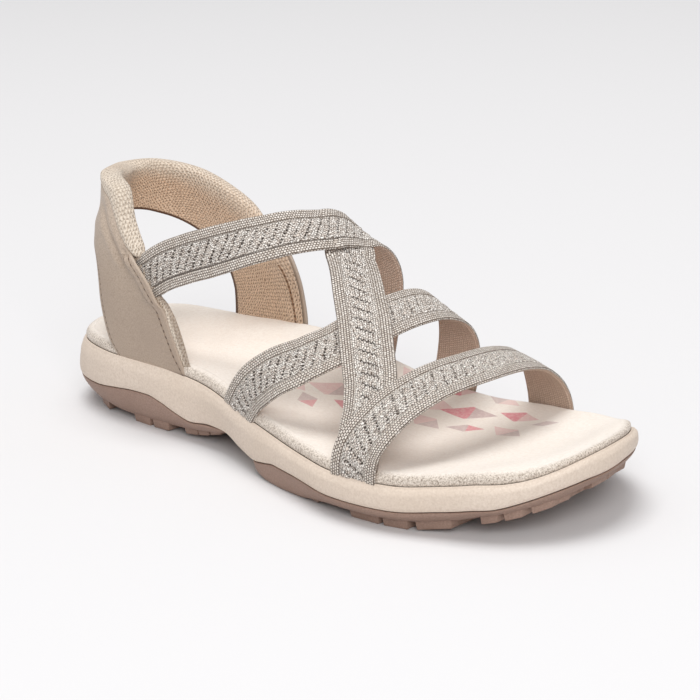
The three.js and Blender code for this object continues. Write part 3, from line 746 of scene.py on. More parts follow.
suede = Finish("suede_footbed", colour(248, 240, 230), 0.95, Specular_IOR_Level=0.15,
               Sheen_Weight=0.2, Sheen_Roughness=0.5)
nap = suede.noise(suede.place(0.0012), 4, 0.7)
speckle = suede.noise(suede.place(0.0006), 3, 0.75)
drift = suede.noise(suede.place(0.022), 2)
soft = suede.mix(suede.ramp(drift, (0.3, 0.0), (0.7, 1.0)),
                 colour(248, 240, 231), colour(244, 235, 225))
soft = suede.mix(suede.ramp(nap, (0.30, 0.0), (0.6, 1.0)), colour(238, 227, 216), soft)
spot = suede.add("TexCoord").outputs["Object"]
worn = suede.ramp(nap, (0.32, 0.55), (0.55, 1.0))
for x, y, length, width, turned, tint_a, tint_b, strength in PRINT:
    centre = ((x + HEEL_BACK[0]) * MM, (y + HEEL_BACK[1]) * MM, 0)
    local = suede.add("Mapping", {"Vector": spot, "Location": centre,
                                  "Rotation": (0, 0, math.radians(turned)),
                                  "Scale": (length * MM, width * MM, 1)},
                      vector_type="TEXTURE").outputs[0]
    size = suede.add("VectorMath", {0: local}, operation="ABSOLUTE").outputs[0]
    total = suede.add("VectorMath", {0: size, 1: (1, 1, 0)}, operation="DOT_PRODUCT").outputs[1]
    inside = suede.math("MULTIPLY", suede.math("LESS_THAN", total, 1.0), strength)
    side = suede.math("GREATER_THAN", suede.add("SeparateXYZ", {0: local}).outputs[0], 0.1)
    tint = suede.mix(side, tint_a, tint_b)
    soft = suede.mix(suede.math("MULTIPLY", inside, worn), soft, tint)
# The flecks are the rim's weave, with their mean painted darker than the top as shade on the
# rounded side.
flecks = suede.ramp(speckle, (0.34, colour(132, 116, 103)), (0.49, colour(206, 194, 181)),
                    (0.66, colour(234, 224, 213)))
ground = suede.mix(suede.attribute("rim"), soft, flecks)
# Painted shade: the crevice mask paints the suede dark where it sits in the foam.
suede.set("Base Color", suede.mix(suede.attribute("crevice"), ground, colour(66, 54, 46)))
suede.set("Normal", suede.relief(speckle, 0.0003, 0.5,
                                 suede.relief(nap, 0.0003, 0.45)))
dress(footbed, suede.material, "footbed_suede", "footbed")

# %% [markdown]
# The straps lie on an unseen last. A turn from 0 at the outer side to 1 at the inner side
# and a place along the foot give a point on it. Straps could also be draped by simulation,
# but flat webbing keeps its width better when its centre line is followed directly.

# %% Shape the last
INSTEP_HEIGHT = 66.0
LAST = [  # length share, crest, lean to the inner side, inner fullness
    (0.16, 1.570, 0.000, 0.90), (0.32, 1.290, 0.041, 0.88), (0.44, 1.010, 0.072, 0.76),
    (0.55, 0.780, 0.112, 0.74), (0.67, 0.590, 0.100, 0.80), (0.80, 0.450, 0.010, 0.82),
    (0.95, 0.340, 0.020, 0.80),
]
last_crest, last_lean, last_fullness = curves(LAST)


def last_point(at, turn):
    x = at * FOOTBED_LENGTH
    angle = turn * np.pi
    half = (inner_edge(x) - outer_edge(x)) / 2
    fullness = np.where(angle > np.pi / 2, last_fullness(at), 1.0)
    across = np.sign(np.cos(angle)) * np.abs(np.cos(angle)) ** fullness
    y = middle_line(x) + last_lean(at) * BALL_WIDTH * np.sin(angle) ** 2 - half * across
    z = line_height(x, y) + last_crest(at) * INSTEP_HEIGHT * np.sin(angle)
    return np.stack([x, y, z], -1)


# %% Follow the straps
TOE_STRAP = [  # turn, length share, lift over the last
    (0.00, 0.742, 0.2), (0.08, 0.745, 1.2), (0.20, 0.761, 1.6), (0.34, 0.779, 1.0),
    (0.50, 0.794, 0.4), (0.62, 0.791, 0.2), (0.76, 0.778, 0.0), (0.90, 0.772, 0.0),
    (1.00, 0.772, 0.0),
]
BALL_STRAP = [
    (0.00, 0.466, 0.0), (0.06, 0.498, 0.0), (0.12, 0.537, 0.0), (0.20, 0.585, -0.6),
    (0.30, 0.620, -1.2), (0.42, 0.638, -1.0), (0.54, 0.643, 0.0), (0.68, 0.643, 0.0),
    (0.80, 0.638, 0.0), (0.91, 0.628, 0.0), (1.00, 0.615, 0.0),
]
INSTEP_STRAP = [
    (0.088, 0.193, -1.3), (0.105, 0.227, -1.0), (0.137, 0.272, -0.8), (0.171, 0.318, -0.4),
    (0.210, 0.362, 0.1), (0.262, 0.403, 0.4), (0.342, 0.446, 0.6), (0.440, 0.478, 1.0),
    (0.500, 0.489, 0.6), (0.550, 0.496, -1.0), (0.600, 0.499, -1.8), (0.640, 0.500, -0.8),
    (0.700, 0.501, 0.1), (0.760, 0.501, 0.9), (0.800, 0.499, 1.3), (0.900, 0.487, 1.0),
    (1.000, 0.474, 0.0),
]
CROSS_STRAP = [
    (0.530, 0.508, -2.6), (0.480, 0.545, -1.0), (0.420, 0.587, 0.6), (0.361, 0.637, 0.9),
    (0.314, 0.674, 0.4), (0.265, 0.707, -0.2), (0.200, 0.729, -0.6), (0.100, 0.741, -0.8),
    (0.030, 0.742, -0.8),
]
STEP = 0.004


def strap_frames(route, turn):
    place, lift = curves(route)

    def on_route(t):
        return last_point(place(t), t)
    safe = np.clip(turn, STEP, 1 - STEP)
    at = place(turn)
    point = last_point(at, turn)
    forward = unit(on_route(safe + STEP) - on_route(safe - STEP))
    along_foot = unit(last_point(at + STEP, safe) - last_point(at - STEP, safe))
    around = unit(last_point(at, safe + STEP) - last_point(at, safe - STEP))
    out = unit(np.cross(along_foot, around))
    square = unit(np.cross(forward, out))
    near_sole = 1 - smoothstep(np.minimum(turn, 1 - turn), 0.02, 0.12)
    across = unit(lerp(square, along_foot, near_sole[:, None]))
    across = across / np.maximum(np.abs(np.sum(across * square, 1)), 0.5)[:, None]
    return point, out, across, lift(turn)


# %% [markdown]
# The webbing is a knitted elastic. A raised border runs along both edges, a groove parts it
# from the middle, and the middle has slanted rows of small holes, with the knit rising
# towards each row like a shingle. The borders, grooves, shingles and holes are real relief
# in a fine mesh, because they catch the light and show on the strap's outline.

# %% Knit the webbing's relief
STRAP_WIDTH = 19.0
CROSS_WIDTH = 18.5
STRAP_THICKNESS = 1.6
EDGE_ROUND = 0.6
PANEL_HALF = 5.15
BORDER_SWELL = 0.16
SHINGLE_RISE = 0.42
HOLE_DEPTH = 0.75
ROW_PITCH, LADDER_PITCH = 4.1, 5.2
HOLE_PITCH, TOOTH_PITCH = 1.15, 1.45
HOLE_HALF, LADDER_HALF = 4.3, 2.7
DASH_PITCH = 1.2, 1.7


def hash_share(a, b=0.0):
    """An even, repeatable share from 0 to 1 for each pair of whole numbers."""
    value = np.sin(a * 12.9898 + b * 78.233) * 43758.5453
    return value - np.floor(value)


def webbing_relief(s, t, slant, joined, grooves):
    """Height over the strap's face, and how deep a hole is, at s across and t along, in mm."""
    band = smoothstep(np.abs(s), PANEL_HALF, PANEL_HALF + 0.6)
    swell = BORDER_SWELL * band
    groove = bump(s, PANEL_HALF, 0.24) * grooves[0] + bump(s, -PANEL_HALF, 0.22) * grooves[1]
    row_pitch, pitch, reach = ((LADDER_PITCH, TOOTH_PITCH, LADDER_HALF) if joined
                               else (ROW_PITCH, HOLE_PITCH, HOLE_HALF))
    row = (t - slant * s) / row_pitch
    number = np.floor(row + 0.5)
    phase = row - np.floor(row)
    panel = 1 - smoothstep(np.abs(s), reach, reach + 0.7)
    shingle = panel * (SHINGLE_RISE * phase ** 1.4 * (1 - smoothstep(phase, 0.90, 1.0)))
    along = (s + HOLE_HALF) / pitch
    sway = 0.0 if joined else 0.45 * (hash_share(number, np.rint(along)) - 0.5)
    near = (phase - np.where(phase > 0.5, 1.0, 0.0)) * row_pitch + sway
    beside = (along - np.rint(along)) * pitch
    if joined:
        scallop = 0.42 * np.cos(2 * np.pi * along)
        hole = np.exp(-((near + scallop) / 0.52) ** 2) * (0.8 + 0.2 * np.cos(2 * np.pi * along))
    else:
        strength = 0.55 + 0.45 * hash_share(number + 7, np.rint(along))
        hole = np.exp(-(near / 0.50) ** 2 - (beside / 0.40) ** 2) * strength
    hole = hole * panel
    if joined:
        wale = (np.abs(s) - 5.0) / DASH_PITCH[0]
        step = t / DASH_PITCH[1] + 0.5 * np.rint(wale)
        dash = (np.clip(np.cos(2 * np.pi * wale), 0, 1)
                * np.clip(np.cos(2 * np.pi * step), 0, 1))
        hole = hole + 0.46 * dash * smoothstep(np.abs(s), 4.0, 4.6)
    return swell - groove + shingle - HOLE_DEPTH * hole, hole


KNIT_STEP = 0.30
ANCHOR_DEPTH = 5.0
ANCHOR_LEAN = 1.25
EXTRA_STEP = 1.7
UNDER_STEPS = 22
CROWN = 0.22
UNDER_RIB, UNDER_RIB_PITCH = 0.12, 1.6
NARROW_RUN = 10, 62
CHANNEL_WIDTH = 0.2


def webbing(name, route, width, anchored, slant, grooves, joined=False, narrow=1.0):
    """A strap along its route as a closed, finely knitted ribbon."""
    turns = np.linspace(min(r[0] for r in route), max(r[0] for r in route), 600)
    centre = strap_frames(route, turns)[0]
    length = np.concatenate([[0], np.cumsum(np.linalg.norm(np.diff(centre, axis=0), axis=1))])
    count = int(length[-1] / KNIT_STEP) + 1
    t = np.linspace(0, length[-1], count)
    point, out, across, lift = strap_frames(route, np.interp(t, length, turns))
    for at_start, here in zip((True, False), anchored):
        if here:
            i = 0 if at_start else -1
            sunk = point[i] + (0, 0, -ANCHOR_DEPTH) - out[i] * ANCHOR_LEAN
            steps = [lerp(point[i], sunk, w) for w in (1 / 3, 2 / 3, 1)]
            extra = t[i] + np.array([1, 2, 3]) * (-EXTRA_STEP if at_start else EXTRA_STEP)
            if at_start:
                point = np.vstack([steps[::-1], point])
                t = np.concatenate([extra[::-1], t])
            else:
                point = np.vstack([point, steps])
                t = np.concatenate([t, extra])
            out, across = (np.insert(a, [0] * 3 if at_start else [len(a)] * 3, a[i], 0)
                           for a in (out, across))
            lift = np.insert(lift, [0] * 3 if at_start else [len(lift)] * 3, lift[i])
    half = width / 2
    top = np.linspace(-half, half, int(width / KNIT_STEP) + 1)
    low = np.linspace(half, -half, UNDER_STEPS)

    def rounding(across):
        inset = np.clip(np.abs(across) - (half - EDGE_ROUND), 0, EDGE_ROUND) / EDGE_ROUND
        return EDGE_ROUND * (1 - np.sqrt(1 - inset ** 2))

    drop = rounding(top) + CROWN * (top / half) ** 2
    s = np.concatenate([top, low, top[:1]])
    base = np.concatenate([-drop, -STRAP_THICKNESS + rounding(low), -drop[:1]])
    face = np.concatenate([np.ones(len(top)), np.zeros(len(low)), [1]])
    grid_s, grid_t = np.meshgrid(s, t)
    raised, hole = webbing_relief(grid_s, grid_t, slant, joined, grooves)
    # Painted shade: a narrow line along each groove that the shader paints dark.
    channel = (bump(grid_s, PANEL_HALF, CHANNEL_WIDTH) * grooves[0]
               + bump(grid_s, -PANEL_HALF, CHANNEL_WIDTH) * grooves[1])
    ribs_below = UNDER_RIB * np.cos(2 * np.pi * grid_s / UNDER_RIB_PITCH)
    height = base + np.where(face > 0, raised, ribs_below) + lift[:, None]
    share = lerp(narrow, 1, smoothstep(t - t[0], *NARROW_RUN))[:, None]
    placed = grid_s * share + half * (1 - share)
    points = (point[:, None] + across[:, None] * placed[..., None]
              + out[:, None] * height[..., None])
    girth = np.where(face > 0, s, 2 * half + 3 - s)
    uv = np.stack([np.broadcast_to(t[:, None], grid_s.shape),
                   np.broadcast_to(girth, grid_s.shape)], -1)
    under = np.broadcast_to(1 - face, grid_s.shape)
    sheet = bent_grid(name, points, uv, hole=hole * face, under=under, channel=channel * face)
    return weld(name, [sheet])


toe_strap = webbing("toe_strap", TOE_STRAP, STRAP_WIDTH, (True, True), -0.45, (0.30, 0.30))
ball_strap = webbing("ball_strap", BALL_STRAP, STRAP_WIDTH, (True, True), -0.50, (0.34, 0.26))
cross_strap = webbing("cross_strap", CROSS_STRAP, CROSS_WIDTH, (False, False), -0.66,
                      (0.04, 0.04), joined=True)
instep_strap = webbing("instep_strap", INSTEP_STRAP, STRAP_WIDTH, (False, True), -0.58,
                       (0.80, 0.40), narrow=0.95)

# %% [markdown]
# Each stitch of the knit is a small bead of silvery yarn with a dark gap round it. A brick
# pattern on the strap's flat map, with every second row moved by half a brick, has the same
# layout as the stitches, and gives each one its own tint.

# %% Finish the webbing
BEAD = (0.98, 0.92)
KNOT = (1.05, 0.80)
knit = Finish("elastic_knit", colour(200, 188, 176), 0.85, Specular_IOR_Level=0.25,
              Sheen_Weight=0.15, Sheen_Roughness=0.4)
flat = knit.place(0.001, flat=True)
across = knit.math("ABSOLUTE", knit.add("SeparateXYZ", {0: flat}).outputs[1])
middle = knit.ramp(knit.math("DIVIDE", across, 10.0), (0.47, 1.0), (0.53, 0.0))
jitter = knit.add("TexNoise", {"Vector": flat, "Scale": 0.9, "Detail": 2.0}).outputs["Color"]
jitter = knit.add("VectorMath", {0: jitter, 1: (0.5, 0.5, 0.5)},
                  operation="SUBTRACT").outputs[0]
swing = knit.math("MULTIPLY_ADD", middle, 1.35, 0.40)
jitter = knit.add("VectorMath", {0: jitter, 3: swing}, operation="SCALE").outputs[0]
loose = knit.add("VectorMath", {0: flat, 1: jitter}, operation="ADD").outputs[0]


def beads(width, row, gap, light, shade, dark):
    return knit.add("TexBrick", {"Vector": loose, "Scale": 1.0, "Mortar Size": gap,
                                 "Mortar Smooth": 0.8, "Brick Width": width, "Row Height": row,
                                 "Color1": light, "Color2": shade, "Mortar": dark}, offset=0.5)


ribs = beads(*BEAD, 0.21, colour(248, 240, 231), colour(214, 202, 190), colour(108, 93, 82))
knots = beads(*KNOT, 0.17, colour(255, 250, 243), colour(222, 210, 199), colour(110, 95, 84))
yarn = knit.mix(middle, ribs.outputs["Color"], knots.outputs["Color"])
wisps = knit.noise(knit.place((0.0009, 0.0005, 0.001), flat=True), 4, 0.75)
yarn = knit.mix(knit.ramp(wisps, (0.56, 0.0), (0.72, 0.8)), yarn, colour(252, 246, 239))
yarn = knit.mix(knit.ramp(wisps, (0.29, 0.85), (0.43, 0.0)), yarn, colour(122, 106, 94))
inside = knit.mix(0.7, ribs.outputs["Color"], colour(212, 180, 158))
yarn = knit.mix(knit.attribute("under"), yarn, inside)
# Painted shade: the holes, the row scallops and the border dashes are also painted dark brown,
# as shade in the sunken knit.
deep = knit.ramp(knit.attribute("hole"), (0.22, 0.0), (0.62, 1.0))
# Painted shade: the grooves beside the middle are painted dark brown.
groove = knit.ramp(knit.attribute("channel"), (0.10, 0.0), (0.55, 0.95))
yarn = knit.mix(groove, yarn, colour(78, 65, 56))
knit.set("Base Color", knit.mix(deep, yarn, colour(60, 49, 42)))
weave = [knit.math("SUBTRACT", 1.0, part.outputs["Fac"]) for part in (ribs, knots)]
weave = knit.add("Mix", {0: middle, 2: weave[0], 3: weave[1]}, data_type="FLOAT").outputs[0]
knit.set("Normal", knit.relief(weave, 0.0004, 0.9, knit.relief(wisps, 0.0005, 0.6)))
for strap in (toe_strap, ball_strap, cross_strap, instep_strap):
    dress(strap, knit.material, "strap_webbing", "upper_straps")

# %% [markdown]
# The sling is a leather shell over a padded lining. Both follow one table of the sling's
# rear and front edges, from the outer side round the heel to the inner side.

# %% Follow the sling
COLLAR_HEIGHT = 65.0
COLLAR_SETBACK = 6.0
COLLAR_LEAN = 3.0
SLING_TAPER = 4.0
COLLAR_SWAY = 2.5
COLLAR_FLARE = 0.35
COLLAR_NOTCH = 2.6
SLING_TUCK = 0.3
SLING_BLEND = np.linspace(-0.012, 0.012, 5)
SLING = [  # rear, rear up, front, front up, roll of the padded edge
    (-0.244, 0.015, -0.399, -0.010, 0.0), (-0.222, 0.120, -0.392, 0.120, 0.1),
    (-0.204, 0.300, -0.372, 0.320, 0.1), (-0.195, 0.450, -0.343, 0.480, 0.2),
    (-0.180, 0.560, -0.297, 0.640, 0.4), (-0.150, 0.630, -0.259, 0.800, 0.8),
    (-0.110, 0.670, -0.222, 0.985, 1.4), (-0.060, 0.700, -0.120, 1.028, 1.8),
    (0.000, 0.715, 0.000, 1.008, 1.4), (0.060, 0.698, 0.090, 0.990, 1.1),
    (0.120, 0.655, 0.180, 0.942, 1.0), (0.175, 0.575, 0.255, 0.850, 0.9),
    (0.215, 0.480, 0.320, 0.720, 0.7), (0.245, 0.350, 0.380, 0.510, 0.5),
    (0.255, 0.210, 0.402, 0.310, 0.3), (0.254, 0.090, 0.408, 0.120, 0.1),
    (0.248, 0.015, 0.402, 0.000, 0.0),
]
run_rows = [(i / (len(SLING) - 1), *row) for i, row in enumerate(SLING)]
rear, rear_up, front, front_up, edge_roll = curves(run_rows)


def sling_place(round_share, up):
    """A place on the sling's outer face and the direction away from the foot, in mm."""
    rounds = -round_share[..., None] * FOOTBED_LENGTH / outline_length + SLING_BLEND
    point, out = (a.mean(-2) for a in edge(rounds))
    out = unit(out)
    back = 1 - smoothstep(np.abs(round_share), 0.05, 0.2)
    above = np.clip((up - 0.7) / 0.3, 0, 1)
    setback = (back * (COLLAR_SETBACK + COLLAR_LEAN * (1 - COLLAR_FLARE * above))
               + (1 - back) * SLING_TAPER * up * up
               + COLLAR_NOTCH * smoothstep(up, 0.72, 0.86) * bump(round_share, -0.10, 0.08)
               + SLING_TUCK * (1 - smoothstep(up, 0.0, 0.10)))
    place = point - out * setback[..., None]
    y = place[..., 1] + COLLAR_SWAY * smoothstep(up, 0.3, 1)
    z = HEEL_LINE + up * COLLAR_HEIGHT
    return (np.stack([place[..., 0], y, z], -1),
            np.concatenate([out, np.zeros(out.shape[:-1] + (1,))], -1))


def sling_point(run, share):
    return sling_place(lerp(rear(run), front(run), share),
                       lerp(rear_up(run), front_up(run), share))


SHELL_THICKNESS = 1.3
SHELL_SHARE = [  # run, share of the sling's width that the leather covers
    (0.000, 0.945), (0.066, 0.905), (0.108, 0.890), (0.153, 0.895), (0.200, 0.900),
    (0.238, 0.895), (0.258, 0.850), (0.275, 0.820), (0.316, 0.835), (0.356, 0.815),
    (0.383, 0.820), (0.410, 0.870), (0.440, 0.930), (0.500, 0.950), (0.600, 0.920),
    (0.700, 0.920), (0.770, 0.950), (0.810, 0.975), (1.000, 0.980),
]
PAD_FRONT = [  # run, share where the padded lining ends, how far it rolls over the leather
    (0.000, 0.985, 0.0), (0.066, 0.975, 0.0), (0.120, 0.965, 0.0), (0.150, 0.930, 0.0),
    (0.170, 0.880, 0.0), (0.225, 0.880, 0.0), (0.250, 0.960, 0.3), (0.270, 1.000, 0.7),
    (0.320, 1.000, 0.8), (0.370, 1.000, 0.6), (0.420, 1.000, 0.2), (0.500, 1.010, 0.1),
    (0.600, 1.030, 0.5), (0.700, 1.030, 0.5), (0.770, 0.995, 0.1), (0.820, 0.965, 0.0),
    (1.000, 0.960, 0.0),
]
shell_share, = curves(SHELL_SHARE)
pad_front, pad_proud = curves(PAD_FRONT)
RUNS = 420
runs = np.linspace(0, 1, RUNS)
mid = sling_point(runs, np.full(RUNS, 0.5))[0]
run_length = np.concatenate([[0], np.cumsum(np.linalg.norm(np.diff(mid, axis=0), axis=1))])
runs = np.interp(np.linspace(0, run_length[-1], RUNS), run_length, runs)
run_length = np.linspace(0, run_length[-1], RUNS)
print("sling", round(run_length[-1]), "mm along")


SLING_ANCHOR = 4.0


def sling_sheet(name, shares, depths, **values):
    """A closed layer of the sling: shares across it and depths under its face, row by row."""
    count = shares.shape[1]
    run = np.broadcast_to(runs[:, None], shares.shape)
    place, out = sling_point(run, shares)
    points = place - out * depths[..., None]
    low = points[[0, -1]].copy()
    low[..., 2] -= SLING_ANCHOR
    points = np.concatenate([low[:1], points, low[1:]])
    girth = np.concatenate([np.zeros((points.shape[0], 1)), np.cumsum(
        np.linalg.norm(np.diff(points, axis=1), axis=-1), 1)], 1)
    t = np.concatenate([[-SLING_ANCHOR], run_length, [run_length[-1] + SLING_ANCHOR]])
    uv = np.stack([np.broadcast_to(t[:, None], girth.shape), girth], -1)
    values = {k: np.concatenate([v[:1], v, v[-1:]]) for k, v in values.items()}
    return weld(name, [bent_grid(name, points, uv, **values)])


# %% Build the leather shell
SLING_WIDTH = 37.0
STRIP_LINE = [  # run, share: the stitches along the folded strip and down to the sole
    (0.004, 0.925), (0.066, 0.855), (0.109, 0.828), (0.143, 0.820), (0.161, 0.775),
    (0.188, 0.742), (0.220, 0.740), (0.256, 0.772),
]
HEM_LINE = [(0.140, 0.872), (0.161, 0.862), (0.188, 0.835), (0.220, 0.835), (0.256, 0.850)]
CREASE = [  # run, share: the valley beside the folded strip
    (0.20, 0.60), (0.23, 0.612), (0.246, 0.60), (0.291, 0.61), (0.337, 0.62), (0.40, 0.66),
]
REAR_LINE = 0.03
FRONT_LINE = 0.95
NO_SEAM = 9.0


def beside_line(run, share, line, start, end):
    """The distance to a line of stitches, in mm, kept large beyond the line's ends."""
    gap = (share - curves(line)[0](run)) * SLING_WIDTH
    return np.where((run >= start) & (run <= end), gap, NO_SEAM)


def leather_relief(run, share):
    """How far the leather stands out, in mm: a crease, a swelling and the folded strip."""
    valley = (share - curves(CREASE)[0](run)) * SLING_WIDTH
    along = smoothstep(run, 0.20, 0.25) * (1 - smoothstep(run, 0.33, 0.41))
    crease = (-0.9 * bump(valley, 0, 2.4) + 1.1 * bump(valley, 5.0, 3.2)
              + 0.4 * bump(valley, -4, 3))
    over_strap = 1.1 * smoothstep(run, 0.13, 0.16) * (1 - smoothstep(run, 0.235, 0.265))
    strip = smoothstep(beside_line(run, share, STRIP_LINE, 0.0, 0.262), -0.9, 0.2)
    folded = smoothstep(run, 0.13, 0.15) * (1 - smoothstep(run, 0.25, 0.262))
    dimple = -1.0 * bump(run, 0.258, 0.007) * bump(share, 0.775, 0.03)
    pucker = 0.10 * np.sin(run * 420) * bump(share, 0.78, 0.07) * smoothstep(run, 0, 0.02)
    pucker = pucker * (1 - smoothstep(run, 0.24, 0.27))
    slack = 0.35 * bump(run, 0.07, 0.05) * bump(share, 0.45, 0.25)
    return (crease * along + (0.45 + 0.4 * over_strap) * strip * folded
            + over_strap * smoothstep(share, 0.6, 0.9) + dimple + pucker - slack)


edge_share = shell_share(runs)[:, None]
face = np.linspace(0, 1, 72)
turned = np.linspace(0, np.pi, 9)[1:-1]
half_thick = SHELL_THICKNESS / 2
shares = [edge_share * face]
depths = [-leather_relief(runs[:, None], edge_share * face)]
edge_depth = depths[0][:, -1:]
shares.append(edge_share + half_thick / SLING_WIDTH * np.sin(turned))
depths.append(edge_depth + half_thick * (1 - np.cos(turned)))
shares.append(edge_share * face[::-4])
depths.append(depths[0][:, ::-4] + SHELL_THICKNESS)
shares.append(-half_thick / SLING_WIDTH * np.sin(turned) * np.ones((RUNS, 1)))
depths.append(depths[0][:, :1] + half_thick * (1 + np.cos(turned)))
shares.append(edge_share * 0)
depths.append(depths[0][:, :1])
shares, depths = (np.concatenate(a, 1) for a in (shares, depths))
run_grid = np.broadcast_to(runs[:, None], shares.shape)
strip_gap = beside_line(run_grid, shares, STRIP_LINE, 0.0, 0.256)
hem_gap = beside_line(run_grid, shares, HEM_LINE, 0.15, 0.256)
rear_gap = np.where(np.abs(run_grid - 0.5) > 0.2, (shares - REAR_LINE) * SLING_WIDTH, NO_SEAM)
front_gap = np.where(run_grid > 0.8, (shares - FRONT_LINE) * SLING_WIDTH, NO_SEAM)
hem_gap = np.where(run_grid > 0.8, front_gap, hem_gap)
# Painted light: this mask covers the rounded cut edge and the inner face of the leather, which
# the shader paints pale against the shade they sit in.
layer = np.concatenate([[0.0] * 73, np.linspace(0, 1, 6), [1.0] * 18, [0.0] * 8])
above_sole = sling_point(run_grid, shares)[0][..., 2] - HEEL_LINE
sling_shell = sling_sheet("sling_leather", shares, depths, strip=strip_gap, hem=hem_gap,
                          rear=rear_gap, cut=np.broadcast_to(layer, shares.shape),
                          foot=1 - smoothstep(above_sole, -0.6, 0.9),
                          high=smoothstep(above_sole, 26, 60))

# %% [markdown]
# The leather is smooth with a fine grain, and rows of stitches run along its edges. The
# stitches could be tiny meshes, but the distance to each row is already known at every
# vertex, so the shader turns it into a row of dashes that sink into the leather.

# %% Finish the leather
STITCH = 2.3
leather = Finish("taupe_leather", colour(174, 156, 140), 0.46, Specular_IOR_Level=0.4)
grain = leather.noise(leather.place(0.0005), 3, 0.65)
pores = leather.noise(leather.place(0.0018), 3, 0.6)
drift = leather.noise(leather.place(0.03), 2)
tone = leather.mix(leather.ramp(drift, (0.3, 0.0), (0.7, 1.0)),
                   colour(181, 163, 146), colour(170, 151, 135))
# Painted light: the high mask lightens the upper part of the sling, where it tilts towards the
# overhead light.
tone = leather.mix(leather.attribute("high"), tone, colour(203, 187, 171))
tone = leather.mix(leather.ramp(grain, (0.3, 0.0), (0.6, 1.0)), colour(158, 140, 124), tone)
along = leather.add("SeparateXYZ", {0: leather.place(STITCH * MM, flat=True)}).outputs[0]
step_share = leather.math("FRACT", along)
dash = leather.math("LESS_THAN", leather.math("ABSOLUTE", leather.math("SUBTRACT", step_share,
                                                                      0.5)), 0.30)
rows = []
for name, half in (("strip", 0.32), ("hem", 0.32), ("rear", 0.25)):
    gap = leather.math("ABSOLUTE", leather.attribute(name))
    rows.append(leather.math("LESS_THAN", gap, half))
row = leather.math("MAXIMUM", leather.math("MAXIMUM", rows[0], rows[1]), rows[2])
thread = leather.math("MULTIPLY", row, dash)
# Painted shade: the rest of each stitch row between the threads is painted dark, as shade in
# the sunk line.
hollow = leather.math("SUBTRACT", row, thread)
tone = leather.mix(thread, tone, colour(150, 129, 111))
tone = leather.mix(hollow, tone, colour(96, 78, 65))
# Painted light: the cut edge and the inner face are painted pale to lift the shade that falls
# on them.
tone = leather.mix(leather.attribute("cut"), tone, colour(205, 190, 175))
# Painted shade: the foot mask darkens the leather where it meets the footbed.
tone = leather.mix(leather.math("MULTIPLY", leather.attribute("foot"), 0.7), tone,
                   colour(86, 70, 60))
leather.set("Base Color", tone)
sunk = leather.math("SUBTRACT", leather.math("MULTIPLY", thread, 0.6), row)
leather.set("Normal", leather.relief(sunk, 0.0004, 0.8, leather.relief(
    grain, 0.00018, 0.5, leather.relief(pores, 0.0003, 0.3))))
dress(sling_shell, leather.material, "sling_leather", "sling_shell")

# %% [markdown]
# The lining is a padded roll of spacer mesh. Its section is a closed curve through a few
# points, thin at the rear edge and round at the front edge, where it rolls out over the
# leather.

# %% Build the padded lining
PAD_THICKNESS = 2.2
PAD_ROLL = 3.0
PAD_GAP = 0.15


def closed_rows(control, count):
    """Smooth closed sections through control points, evenly spaced, for every row at once."""
    n = control.shape[1]
    t = np.arange(count) / count * n
    i = t.astype(int)
    f = (t - i)[None, :, None]
    p = [control[:, (i + k) % n] for k in (-1, 0, 1, 2)]
    a = 2 * p[1]
    b = (p[2] - p[0]) * f
    c = (2 * p[0] - 5 * p[1] + 4 * p[2] - p[3]) * f ** 2
    d = (3 * p[1] - p[0] - 3 * p[2] + p[3]) * f ** 3
    return 0.5 * (a + b + c + d)


roll = edge_roll(runs)
bead = PAD_ROLL * roll * smoothstep(pad_front(runs), 0.9, 0.99)
under = SHELL_THICKNESS + PAD_GAP
deep_flat = under + PAD_THICKNESS * (0.45 + 0.55 * smoothstep(runs, 0.14, 0.28))
proud = 1.3 * pad_proud(runs)
reach = pad_front(runs)
cover = np.minimum(shell_share(runs), reach - 0.03)
wraps = smoothstep(reach - shell_share(runs), 0.03, 0.10)
flat_roll = 0 * roll
section = [
    (0.03 + flat_roll, under + 0.4 + flat_roll),
    (0.10 + flat_roll, under + flat_roll),
    (0.45 * cover, under + flat_roll),
    (cover - 0.10, under + flat_roll),
    (cover - 0.01, under - 0.2 * wraps),
    (cover + 0.02, lerp(under + 0.1, 0.3 - 0.6 * proud, wraps)),
    (lerp(cover, reach, 0.55), lerp(under + 0.3, -proud, wraps)),
    (lerp(cover, reach, 0.90) + 0.02 * roll * wraps,
     lerp(under + 0.5, 0.3 - 0.3 * proud, wraps)),
    (reach + 0.02 + 0.02 * roll * wraps, lerp(under + 1.1, 0.45 * (deep_flat + bead), wraps)),
    (reach + 0.01 + 0.01 * roll * wraps,
     lerp(deep_flat - 0.3, 0.85 * (deep_flat + bead), wraps)),
    (reach - 0.10, deep_flat + 1.05 * bead),
    (0.74 + flat_roll, deep_flat + 0.95 * bead),
    (0.50 + flat_roll, deep_flat + 0.55 * bead),
    (0.28 + flat_roll, deep_flat + 0.15 * bead),
    (0.12 + flat_roll, deep_flat + flat_roll),
    (0.02 + flat_roll, deep_flat - 0.6 + flat_roll),
    (0.00 + flat_roll, under + 1.2 + flat_roll),
]
control = np.stack([np.stack(pair, -1) for pair in section], 1)
rounded = closed_rows(control, 132)
rounded = np.concatenate([rounded, rounded[:, :1]], 1)
# The outer mask picks the mesh tone: cream outside and tan inside, partly the lining's own
# colour and partly painted shade on the inner side.
outward = np.clip((under + 1.0 - rounded[..., 1]) / 2.0, 0, 1)
forward = rounded[..., 0] / reach[:, None]
at_run = runs[:, None]
